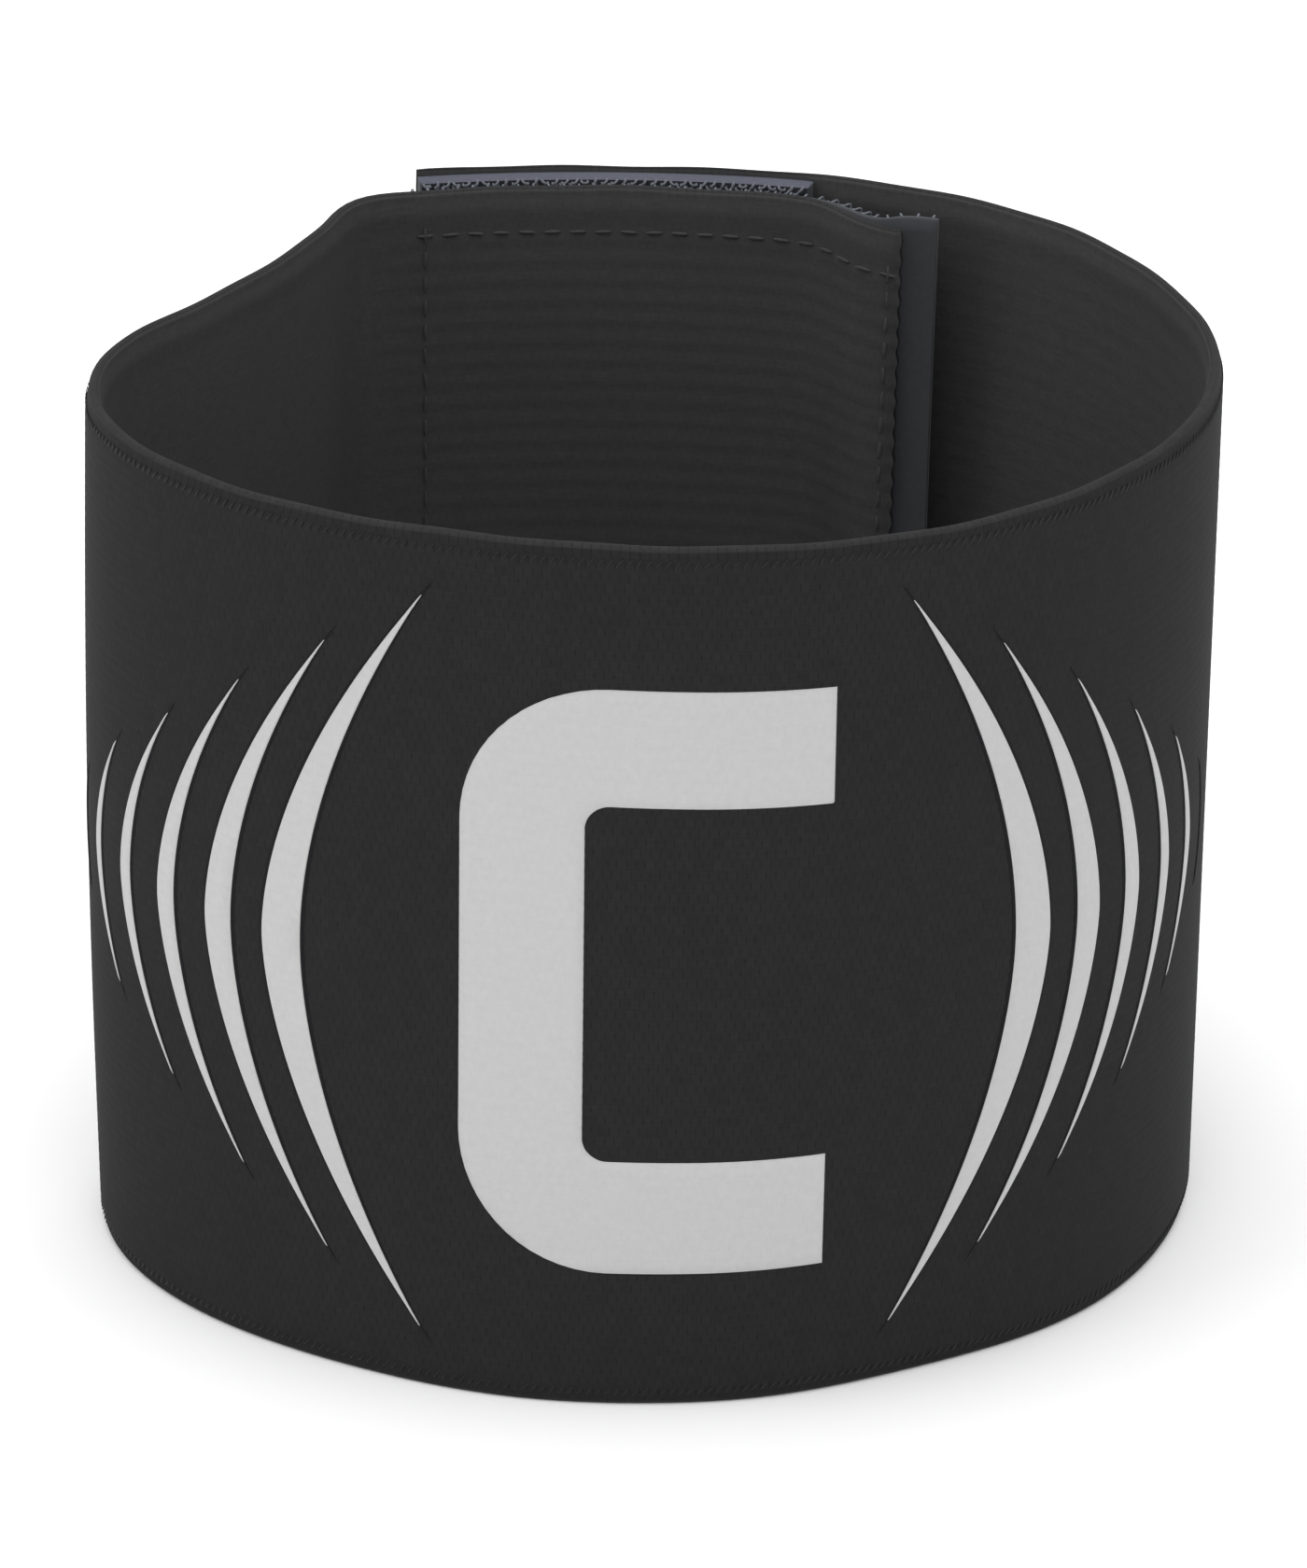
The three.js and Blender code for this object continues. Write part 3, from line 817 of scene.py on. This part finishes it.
def letter_path(step=0.6):
    """The middle line of the letter's stroke, from the upper end round to the lower end."""
    left = LETTER_MIDDLE - LETTER_WIDTH / 2 + STROKE / 2
    right = LETTER_MIDDLE + LETTER_WIDTH / 2
    top = MIDDLE_HEIGHT + LETTER_HEIGHT / 2 - STROKE / 2
    bottom = MIDDLE_HEIGHT - LETTER_HEIGHT / 2 + STROKE / 2
    turn = np.radians(np.linspace(90, 180, 16))
    turn_x, turn_y = CORNER_RADIUS * (1 + np.cos(turn)), CORNER_RADIUS * (1 - np.sin(turn))
    upper = np.stack([left + turn_x, top - turn_y], 1)
    lower_turn = np.stack([upper[::-1, 0], bottom + top - upper[::-1, 1]], 1)
    arm = np.linspace(right, upper[0, 0], int((right - upper[0, 0]) / step))[:-1]
    stem = np.linspace(upper[-1, 1], lower_turn[0, 1], int(LETTER_HEIGHT / step))[1:-1]
    return np.concatenate(
        [
            np.stack([arm, np.full_like(arm, top)], 1), upper,
            np.stack([np.full_like(stem, left), stem], 1), lower_turn,
            np.stack([arm[::-1], np.full_like(arm, bottom)], 1)
        ]
    )


def ribbon_rows(path, sides):
    travel = np.gradient(path, axis=0)
    travel /= np.linalg.norm(travel, axis=1)[:, None]
    across_travel = np.stack([-travel[:, 1], travel[:, 0]], 1)
    return path[:, None, :] + across_travel[:, None, :] * np.array(sides)[None, :, None]


path = letter_path()
first, last = path[0], path[-1]
rim_step = np.array([FILM_RIM, 0])
path = np.vstack([first, first - rim_step, path[1:-1], last - rim_step, last])
half = STROKE / 2
inside = np.linspace(-half + 1, half - 1, 9)
stroke_sides = [-half, -half + FILM_RIM, *inside, half - FILM_RIM, half]
letter = film_piece(
    "captain_letter_film", ribbon_rows(path, stroke_sides), FILM_THICKNESS, white_film
)
print("letter film", len(letter.data.polygons), "faces")

# %% [markdown]
# ## The stripes
# Six crescents on each side shrink towards the limbs. They follow one rule, so a loop makes them:
# the outer edge bows out, the inner edge bows a little less, and both meet in a sharp tip. Around
# each lies a dark margin of carrier film, which runs on past the tips. The sixth crescent is
# margin only.

# %% Stripe rule
STRIPE_COUNT = 6
MARGIN = 0.32
MARGIN_TIP = 1.1
MARGIN_THICKNESS = 0.03
LAST_THICKNESS = 0.06
TIP_WIDTH = 0.08
OUTER_POWER, INNER_POWER = 1.7, 1.45  # how round each edge is


def stripe_rows(index, side, grow=0.0, tip_grow=0.0, step=0.7):
    """Rows of (along, height) over one crescent, counted outwards from the letter."""
    half_height = 32.4 - 5.3 * index
    bulge = 14.6 - 2.4 * index
    width = 3.7 * 0.75**index
    tip = 19.1 + 8.4 * index - 0.1 * index**2
    reach_up = half_height + tip_grow
    count = int(2 * reach_up / step)
    slope = OUTER_POWER * bulge / half_height
    rows = []
    for height in np.linspace(-reach_up, reach_up, count):
        share = abs(height) / half_height
        inside = min(share, 1.0)
        beyond = slope * max(0, share - 1) * half_height  # past the tip it runs straight on
        far = tip + bulge * (1 - inside**OUTER_POWER) - beyond + TIP_WIDTH
        near = far - TIP_WIDTH - width * max(0.0, 1 - inside**INNER_POWER)
        spread = grow * math.sqrt(max(0.0, 1 - (abs(height) / reach_up) ** 2))
        far, near = far + spread, near - spread
        rim = min(FILM_RIM, 0.3 * (far - near))
        edges = [far, far - rim, (far + near) / 2, near + rim, near]
        rows.append([(PRINT_MIDDLE + side * edge, MIDDLE_HEIGHT + height) for edge in edges])
    return rows


stripes, margins = {}, {}
for index in range(STRIPE_COUNT):
    for side, word in ((-1, "left"), (1, "right")):
        label = f"{word}_{index + 1}"
        is_last = index == STRIPE_COUNT - 1
        thickness, film = (LAST_THICKNESS, dark_film) if is_last else (FILM_THICKNESS, white_film)
        stripes[label] = film_piece(
            "stripe_film_" + label, stripe_rows(index, side), thickness, film
        )
        if not is_last:
            grown_rows = stripe_rows(index, side, MARGIN, MARGIN_TIP)
            margins[label] = film_piece(
                "stripe_margin_" + label, grown_rows, MARGIN_THICKNESS, dark_film
            )
print(len(stripes), "stripes and", len(margins), "margins")

# %% [markdown]
# ## Threads, hooks and loops
# Stitches, hooks and loops are the same small thing many times over along rows that follow the
# strip, which is what Geometry Nodes are for. The rows are plain polylines that carry the outward
# direction. One tree sets stitches along them, one sets hooks and one sets loops.

# %% Polylines on the strip
def strip_lines(lines, sinks=True, inwards=False):
    """Polylines from lists of (along, height, offset), each point knowing which way to stand."""
    points, edges, out = [], [], []
    for line in lines:
        line = np.array(line, float)
        start = len(points)
        points += place(line[:, 0], line[:, 1], line[:, 2], sinks).tolist()
        out += outward_at(line[:, 0]).tolist()
        edges += [(start + i, start + i + 1) for i in range(len(line) - 1)]
    mesh = new_mesh("rows", np.array(points), np.array([]), edges)
    set_attribute(mesh, "outward", np.array(out) * (-1 if inwards else 1), "FLOAT_VECTOR")
    return new_object("rows", mesh)


def level_line(start, end, height, offset, step=0.8):
    count = max(2, int((end - start) / step) + 1)
    return [(a, height, offset) for a in np.linspace(start, end, count)]


def upright_line(along, low, high, offset, step=0.8):
    count = max(2, int((high - low) / step) + 1)
    return [(along, h, offset) for h in np.linspace(low, high, count)]


print("a test row has", len(level_line(0, 8, 0, 0)), "points")


# %% The tree that sets small pieces along rows
def row_tree(name, make_piece, extra_inputs):
    """A tree that resamples rows and sets one small piece at each point, standing outwards."""
    inputs = {"Spacing": "Float", "Lean": "Float", "Jitter": "Float", "Seed": "Int"}
    inputs |= {"Thread": "Material"} | {label: "Float" for label in extra_inputs}
    tree, sizes = group_with_inputs(name, list(inputs.items()))
    curves = add_node(tree, "GeometryNodeMeshToCurve", {"Mesh": sizes["Geometry"]})
    spaced = add_node(
        tree, "GeometryNodeResampleCurve", {"Curve": curves, "Length": sizes["Spacing"]},
        mode="LENGTH"
    )
    along = add_node(tree, "GeometryNodeInputTangent")
    follow = add_node(
        tree, "FunctionNodeAlignRotationToVector", {"Vector": along}, axis="X", pivot_axis="AUTO"
    )
    out = add_node(tree, READ, {"Name": "outward"}, data_type="FLOAT_VECTOR")
    stand = add_node(
        tree, "FunctionNodeAlignRotationToVector", {"Rotation": follow, "Vector": out}, axis="Z",
        pivot_axis="X"
    )
    low, high = (
        add_node(tree, "ShaderNodeMath", {0: sizes["Lean"], 1: sizes["Jitter"]}, operation=sign)
        for sign in ("SUBTRACT", "ADD")
    )
    lean = add_node(
        tree, "FunctionNodeRandomValue", {2: low, 3: high, "Seed": sizes["Seed"]}, data_type="FLOAT"
    )
    turn = add_node(tree, "ShaderNodeCombineXYZ", {"Z": lean.outputs[1]})
    turned = add_node(
        tree, "FunctionNodeRotateRotation", {"Rotation": stand, "Rotate By": turn},
        rotation_space="LOCAL"
    )
    placed = add_node(tree, "GeometryNodeInstanceOnPoints", {
        "Points": spaced, "Instance": make_piece(tree, sizes), "Rotation": turned
    })
    real = add_node(tree, "GeometryNodeRealizeInstances", {"Geometry": placed})
    done = add_node(
        tree, "GeometryNodeSetMaterial", {"Geometry": real, "Material": sizes["Thread"]}
    )
    add_node(tree, "NodeGroupOutput", {"Geometry": done})
    return tree


print("row recipe ready")

# %% [markdown]
# ## One stitch, one hook, one loop
# Each is set thousands of times, so it has only a few dozen faces. A stitch is a stretched ball, a
# hook a bent rod, and a loop an arch. Sweeping a small circle along a curve gives rod and arch.

# %% A stitch
def make_stitch(tree, sizes):
    """A small ball stretched along the row."""
    ball = add_node(tree, "GeometryNodeMeshUVSphere", {"Segments": 6, "Rings": 4, "Radius": 0.5})
    shape = add_node(tree, "ShaderNodeCombineXYZ", {
        "X": sizes["Length"], "Y": sizes["Width"], "Z": sizes["Thickness"]
    })
    # The ball's poles point up, so it is laid on its side before it is stretched along the row.
    laid = add_node(
        tree, "GeometryNodeTransform", {"Geometry": ball, "Rotation": (0, math.pi / 2, 0)}
    )
    return add_node(tree, "GeometryNodeTransform", {"Geometry": laid, "Scale": shape})


stitch_tree = row_tree("stitch_rows", make_stitch, ["Length", "Width", "Thickness"])
print("stitch tree has", len(stitch_tree.nodes), "nodes")


# %% A hook
HOOK_CURL = math.radians(215)


def rod(tree, curve, sides, sizes):
    """A closed rod along a curve, as thick as the gauge."""
    profile = add_node(
        tree, "GeometryNodeCurvePrimitiveCircle", {"Resolution": sides, "Radius": sizes["Gauge"]}
    )
    return add_node(tree, "GeometryNodeCurveToMesh", {
        "Curve": curve, "Profile Curve": profile, "Fill Caps": True
    })


def make_hook(tree, sizes):
    """A straight stem that ends in an open hook."""
    top = add_node(tree, "ShaderNodeCombineXYZ", {"Z": sizes["Stem"]})
    stem = add_node(tree, "GeometryNodeCurvePrimitiveLine", {"Start": (0, 0, 0), "End": top})
    crook = add_node(tree, "GeometryNodeCurveArc", {
        "Resolution": 6, "Radius": sizes["Crook"], "Start Angle": 0.0, "Sweep Angle": HOOK_CURL
    })
    aside = add_node(tree, "ShaderNodeMath", {0: sizes["Crook"], 1: -1.0}, operation="MULTIPLY")
    raised = add_node(tree, "ShaderNodeCombineXYZ", {"X": aside, "Z": sizes["Stem"]})
    upright = add_node(tree, "GeometryNodeTransform", {
        "Geometry": crook, "Rotation": (math.pi / 2, 0, 0), "Translation": raised
    })
    both = tree.nodes.new("GeometryNodeJoinGeometry")
    for curve in (stem, upright):
        tree.links.new(curve.outputs[0], both.inputs[0])
    return rod(tree, both, 5, sizes)


hook_tree = row_tree("hook_rows", make_hook, ["Stem", "Crook", "Gauge"])
print("hook tree has", len(hook_tree.nodes), "nodes")


# %% A loop
LOOP_FOOT, LOOP_SWEEP = math.radians(-30), math.radians(240)
LOOP_NARROWING = 0.7


def make_loop(tree, sizes):
    """An arch of yarn with both feet in the tape."""
    arch = add_node(tree, "GeometryNodeCurveArc", {
        "Resolution": 8, "Radius": sizes["Arch"], "Start Angle": LOOP_FOOT,
        "Sweep Angle": LOOP_SWEEP
    })
    upright = add_node(tree, "GeometryNodeTransform", {
        "Geometry": arch, "Rotation": (math.pi / 2, 0, 0),
        "Translation": add_node(tree, "ShaderNodeCombineXYZ", {"Z": sizes["Arch"]}),
        "Scale": (LOOP_NARROWING, 1.0, 1.0)
    })
    return rod(tree, upright, 4, sizes)


loop_tree = row_tree("loop_rows", make_loop, ["Arch", "Gauge"])
print("loop tree has", len(loop_tree.nodes), "nodes")

# %% [markdown]
# ## Yarn and nylon
# Threads and tapes are too small for a drawn weave, so one recipe serves all of them: two close
# tones mixed by a fine noise, a slight relief, and a trace of sheen from loose fibres.

# %% Thread, hook and loop materials
YARN_RELIEF = 0.03  # mm


def yarn_material(name, light, dark, roughness, specular, grain_per_mm):
    material, tree = new_material(name)
    grain = add_node(tree, "ShaderNodeTexNoise", {
        "Vector": add_node(tree, "ShaderNodeTexCoord").outputs["Object"],
        "Scale": grain_per_mm / MM, "Detail": 3.0, "Roughness": 0.6
    })
    mix = add_node(
        tree, "ShaderNodeMix", {"Factor": grain, 6: linear(dark), 7: linear(light)},
        data_type="RGBA"
    )
    bump = add_node(
        tree, "ShaderNodeBump", {"Height": grain, "Distance": YARN_RELIEF * MM, "Strength": 0.6}
    )
    shader = add_node(tree, "ShaderNodeBsdfPrincipled", {
        "Base Color": mix.outputs[2], "Roughness": roughness, "Specular IOR Level": specular,
        "Sheen Weight": 0.1, "Sheen Roughness": 0.4, "Normal": bump
    })
    add_node(tree, "ShaderNodeOutputMaterial", {"Surface": shader})
    return material


# Textured yarn, as dull as the elastic it binds.
edge_yarn = yarn_material("polyester binding yarn", "#2a2a2b", "#242425", 0.85, 0.1, 2.5)
# Twisted sewing threads: a little smoother, so each stitch catches a small light. The bobbin
# thread, seen on the inner face, is painted lighter like that face.
needle_thread = yarn_material("spun polyester needle thread", "#313132", "#28282a", 0.75, 0.15, 3.0)
bobbin_thread_painted_lighter = yarn_material("spun polyester bobbin thread, painted lighter", "#464647", "#3d3d3e", 0.75, 0.15, 3.0)
# Moulded monofilament is the one glossy thing here: a field of hooks glints blue-grey.
hook_nylon = yarn_material("moulded nylon monofilament hooks", "#6a6e78", "#4f535b", 0.4, 0.4, 1.2)
# The hook tape's ground is painted lighter, to fill the shade seen between the hooks.
hook_ground_painted_lighter = yarn_material(
    "woven nylon ground of the hook tape, painted lighter", "#424346", "#393a3d", 0.8, 0.15, 2.0
)
# Brushed filaments make pile and mat look soft, and the mat a little paler than the elastic. The
# pile's pale tone is painted light: it stands in for the light from above on the tapes' top edge.
loop_pile_painted_pale = yarn_material("brushed nylon loop pile", "#6a6d76", "#50535a", 0.8, 0.2, 1.6)
loop_ground = yarn_material(
    "brushed nylon mat of the loop tape", "#3a3c40", "#2e2f33", 0.8, 0.15, 2.0
)
# A hot knife fuses the yarn ends into a smoother border. The loop tape's pale edge is a painted
# highlight for its top edge lit from above.
loop_tape_edge_highlight = yarn_material(
    "heat-cut edge of the loop tape, painted highlight", "#525562", "#42444f", 0.7, 0.2, 2.0
)
hook_tape_edge = yarn_material(
    "heat-cut edge of the hook tape", "#383a3f", "#2e3035", 0.7, 0.2, 2.0
)
print("yarn materials made")

# %% [markdown]
# ## Binding stitches along the edges
# A slanting stitch every 0.75 mm binds each edge, 1.35 mm in from it, on the outer face. A bump
# pattern could draw them, but the rim is looked along, where only real relief shows.

# %% Binding stitches
EDGE_STITCH_INSET = 1.35
EDGE_STITCH_DEPTH = 0.66  # the stitch's middle, just under the outer face
STITCH_END_GAP = 0.4
BINDING_STITCH = {
    "Spacing": 0.75 * MM, "Lean": math.radians(52), "Jitter": math.radians(9), "Seed": 3,
    "Thread": edge_yarn, "Length": 0.95 * MM, "Width": 0.22 * MM, "Thickness": 0.12 * MM
}
edge_stitches = {}
for part, (start, end) in LENGTHS.items():
    lines = [
        level_line(start + STITCH_END_GAP, end - STITCH_END_GAP, height, EDGE_STITCH_DEPTH)
        for height in (EDGE_STITCH_INSET, STRAP_HEIGHT - EDGE_STITCH_INSET)
    ]
    edge_stitches[part] = grown(strip_lines(lines), stitch_tree, BINDING_STITCH, "binding_" + part)

# %% [markdown]
# ## The tapes
# Hook tape is sewn to the tab's outer face and loop tape to the flap's inner face. The hook tape
# has a woven ground 0.55 mm thick. The loop tape's is a brushed mat, 1.35 mm thick. Each is a slab
# that follows the strip, and hooks or loops stand on it.

# %% Tape grounds
TAPE_INSET = 0.5
HOOK_GROUND = 0.55
LOOP_GROUND = 1.35
HOOK_TAPE = (-3.0, TAB_ARC_END)
LOOP_TAPE = (LOOP_TAPE_START, STRIP_END)
HOOK_TAPE_SUNK, LOOP_TAPE_SUNK = 0.62, -0.12  # where each tape's hidden face lies
EDGE_WIDTH = 0.08
EDGE_SHARE = 0.6  # of the thickness is left at the rounded edge
TAPE_MESH_STEP = 0.8
TAPE_LOW, TAPE_HIGH = TAPE_INSET, STRAP_HEIGHT - TAPE_INSET


def with_edges(low, high, count):
    middle = np.linspace(low, high, count)[1:-1]
    return np.concatenate([[low, low + EDGE_WIDTH], middle, [high - EDGE_WIDTH, high]])


def tape_ground(name, start, end, inner, outer, material, edge_material):
    distances = with_edges(start, end, int((end - start) / TAPE_MESH_STEP))
    heights = with_edges(TAPE_LOW, TAPE_HIGH, 60)
    along, height = np.meshgrid(distances, heights, indexing="ij")
    rim = rim_of(along.shape)
    middle = (inner + outer) / 2
    layers = []
    for face in (outer, inner):
        offset = np.where(rim, middle + (face - middle) * EDGE_SHARE, face)
        layers.append(place(along, height, offset, sinks=False))
    mesh = slab(name, *layers)
    mesh.materials.append(material)
    mesh.materials.append(edge_material)
    long_edge = np.zeros(along.shape, bool)
    long_edge[:, 0] = long_edge[:, -1] = True
    long_edge = np.tile(long_edge.ravel(), 2)
    for polygon in mesh.polygons:
        polygon.material_index = int(long_edge[list(polygon.vertices)].sum() > 1)
    mesh.shade_smooth()
    mesh.set_sharp_from_angle(angle=math.radians(60))
    return new_object(name, mesh)


HOOK_FACE, LOOP_FACE = HALF_THICKNESS + HOOK_GROUND, -HALF_THICKNESS - LOOP_GROUND
hook_base = tape_ground(
    "hook_tape_ground", *HOOK_TAPE, HOOK_TAPE_SUNK, HOOK_FACE, hook_ground_painted_lighter, hook_tape_edge
)
loop_base = tape_ground(
    "loop_tape_ground", *LOOP_TAPE, LOOP_FACE, LOOP_TAPE_SUNK, loop_ground, loop_tape_edge_highlight
)
print("hook tape", round(HOOK_TAPE[1] - HOOK_TAPE[0], 1), "mm")
print("loop tape", LOOP_TAPE[1] - LOOP_TAPE[0], "mm")

# %% [markdown]
# ## Hooks and loops
# Real hooks stand about 1 mm apart and loops closer still. Both are drawn a little coarser, 1.3 mm
# and 0.85 mm apart, so that they show. The cut upper edges are looked along, so each has two more
# rows set between the others, which close it up. The lean of each piece is drawn at random from a
# fixed seed, because rows of identical hooks would shimmer.

# %% Hooks
ROOT_DEPTH = 0.05  # how far each root is sunk in its tape
ROW_END_GAP = 0.6
HOOK_PITCH = 1.3
HOOK = {
    "Spacing": HOOK_PITCH * MM, "Lean": math.radians(90), "Jitter": math.radians(14), "Seed": 11,
    "Thread": hook_nylon, "Stem": 0.85 * MM, "Crook": 0.27 * MM, "Gauge": 0.10 * MM
}
hook_start, hook_stop = HOOK_TAPE[0] + ROW_END_GAP, HOOK_TAPE[1] - ROW_END_GAP
hook_root = HOOK_FACE - ROOT_DEPTH
hook_heights = np.linspace(TAPE_LOW + 0.7, TAPE_HIGH - 0.15, round(STRAP_HEIGHT / HOOK_PITCH))
hook_rows = [level_line(hook_start, hook_stop, height, hook_root) for height in hook_heights]
for below_edge in (0.45, 0.9):
    edge_start = hook_start + HOOK_PITCH / 2
    hook_rows.append(level_line(edge_start, hook_stop, TAPE_HIGH - below_edge, hook_root))
hooks = grown(strip_lines(hook_rows, sinks=False), hook_tree, HOOK, "hook_tape_hooks")

# %% Loops
LOOP_ROW_PITCH = 1.15
LOOP_SPACING = 0.85
LOOP = {
    "Spacing": LOOP_SPACING * MM, "Lean": math.radians(25), "Jitter": math.radians(55), "Seed": 23,
    "Thread": loop_pile_painted_pale, "Arch": 0.42 * MM, "Gauge": 0.13 * MM
}
loop_start, loop_stop = LOOP_TAPE[0] + ROW_END_GAP, LOOP_TAPE[1] - 0.5
loop_root = LOOP_FACE + ROOT_DEPTH
loop_heights = np.linspace(TAPE_LOW + 0.15, TAPE_HIGH - 0.15, round(STRAP_HEIGHT / LOOP_ROW_PITCH))
loop_rows = [level_line(loop_start, loop_stop, height, loop_root) for height in loop_heights]
for below_edge in (0.5, 0.85):
    edge_start = loop_start + LOOP_SPACING / 2
    loop_rows.append(level_line(edge_start, loop_stop, TAPE_HIGH - below_edge, loop_root))
pile = grown(strip_lines(loop_rows, inwards=True), loop_tree, LOOP, "loop_tape_pile")

# %% [markdown]
# ## Seams
# Each tape is sewn on all round, 4 mm in from the elastic's edges. The stitches are 1.6 mm long
# and pull the elastic in a little, so they lie half sunk in it. They use the binding's tree.

# %% Seam stitches
SEAM_INSET = 4.0
SEAM_END = 1.2
SEAM_STITCH = {
    "Spacing": 2.2 * MM, "Lean": 0.0, "Jitter": math.radians(4), "Seed": 5, "Length": 1.6 * MM,
    "Width": 0.32 * MM, "Thickness": 0.28 * MM
}


def seam(name, start, end, face, thread):
    """A rectangle of stitches on one face of the strip."""
    low, high = SEAM_INSET, STRAP_HEIGHT - SEAM_INSET
    lines = [level_line(start, end, height, face) for height in (low, high)]
    lines += [upright_line(along, low, high, face) for along in (start, end)]
    return grown(strip_lines(lines), stitch_tree, SEAM_STITCH | {"Thread": thread}, name)


hook_seam = seam(
    "hook_tape_stitches", SEAM_END, TAB_ARC_END - SEAM_END, -HALF_THICKNESS, bobbin_thread_painted_lighter
)
loop_seam = seam(
    "loop_tape_stitches", LOOP_TAPE[0] + SEAM_END, STRIP_END - SEAM_END, HALF_THICKNESS,
    needle_thread
)

# %% [markdown]
# ## Joining the pieces to the moving bodies
# Elastic that crosses a flexing line would bend between the two bodies, and a rigid joint would
# tear it there; here the elastic, its binding stitches and the loop tape are only fixed where they
# lie.
# Everything printed on the front rides on the front body, and the hook tape rides on the inner tab.

# %% Fix in place and ride
TAB_BEND = ((-0.019, 0.036, 0), (-0.0255, 0.032, 0))
RIGHT_BEND = ((0.045, 0.004, 0), (0.045, 0.014, 0))
FLAP_BEND = ((0.024, 0.0393, 0), (0.016, 0.0425, 0))
TIP_BEND = ((-0.0035, 0.045, 0), (-0.0105, 0.045, 0))
bends = {
    "tab": ("inner_tab", "front", TAB_BEND), "front": ("front", "right_wall", RIGHT_BEND),
    "right": ("right_wall", "flap_base", FLAP_BEND), "flap": ("flap_base", "flap_tip", TIP_BEND)
}
for part, (one, other, (start, end)) in bends.items():
    for piece in (elastic[part], edge_stitches[part]):
        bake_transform(piece)
for piece in (loop_base, pile, loop_seam):
    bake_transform(piece)
for piece in (hook_base, hooks, hook_seam):
    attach(piece, "inner_tab")
for piece in (letter, *stripes.values(), *margins.values()):
    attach(piece, "front")
print("pieces joined to their bodies")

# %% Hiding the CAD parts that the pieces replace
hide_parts("strap_inner_tab")
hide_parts("strap_front_wall")
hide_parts("strap_right_wall", "strap_flap_base")
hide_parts("strap_flap_tip")
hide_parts("hook_tape")
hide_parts("loop_tape_base", "loop_tape_tip")
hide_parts("hook_tape_seam")
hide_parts("loop_tape_seam_base", "loop_tape_seam_tip")
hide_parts("captain_letter")
for label, piece in stripes.items():
    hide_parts("stripe_" + label)

# %% [markdown]
# ## Flat cloth
# The elastic and both tapes are cut flat, then folded round or laid on. Below, each length of
# elastic is gathered with what is sewn or printed on it, and nothing more is done with the list.

# %% Sheets
for part, (start, end) in LENGTHS.items():
    with_it = [edge_stitches[part]]
    if part == "front":
        with_it += [letter, *stripes.values(), *margins.values()]

# %% [markdown]
# ## Floor and light
# A plain pale table top, and soft light from all round with more from above, as in a small product
# studio. Black cloth shows its form only by how it fades, so no hard light is used.

# %% Floor
FLOOR_HALF = 4.0  # m
floor_corners = [(x, y, 0) for x, y in ((-1, -1), (1, -1), (1, 1), (-1, 1))]
floor_mesh = new_mesh(
    "studio_floor", np.array(floor_corners) * FLOOR_HALF, np.array([(0, 1, 2, 3)])
)
floor = new_object("studio_floor", floor_mesh)
# Matte lacquer: an even white that hardly mirrors the armband.
paper, paper_tree = new_material("matte white table top")
paper_shader = add_node(paper_tree, "ShaderNodeBsdfPrincipled", {
    "Base Color": linear("#ffffff"), "Roughness": 0.95, "Specular IOR Level": 0.1
})
add_node(paper_tree, "ShaderNodeOutputMaterial", {"Surface": paper_shader})
floor_mesh.materials.append(paper)
print("floor", 2 * FLOOR_HALF, "m wide")

# %% Light
SKY_STRENGTH = 0.7
world = bpy.data.worlds.new("Studio")
world.use_nodes = True
background = world.node_tree.nodes["Background"]
background.inputs["Color"].default_value = (1, 1, 1, 1)
background.inputs["Strength"].default_value = SKY_STRENGTH
bpy.context.scene.world = world


def soft_light(name, location, target, size_m, watts):
    data = bpy.data.lights.new(name, "AREA")
    data.shape = "SQUARE"
    data.size = size_m
    data.energy = watts
    light = new_object(name, data)
    light.location = location
    aim = Vector(target) - Vector(location)
    light.rotation_euler = aim.to_track_quat("-Z", "Y").to_euler()


soft_light("Overhead", (0, 0.1, 1.2), (0, 0, 0), 1.2, 9)
soft_light("High front", (0, -0.9, 1.3), (0, 0, 0.04), 0.8, 3)
soft_light("Left", (-1.1, -0.3, 0.8), (0, 0, 0.04), 0.9, 3.2)
soft_light("Right", (1.1, -0.2, 0.7), (0, 0, 0.04), 0.9, 1.2)
bpy.context.scene.view_settings.view_transform = "Standard"
print("lights set")
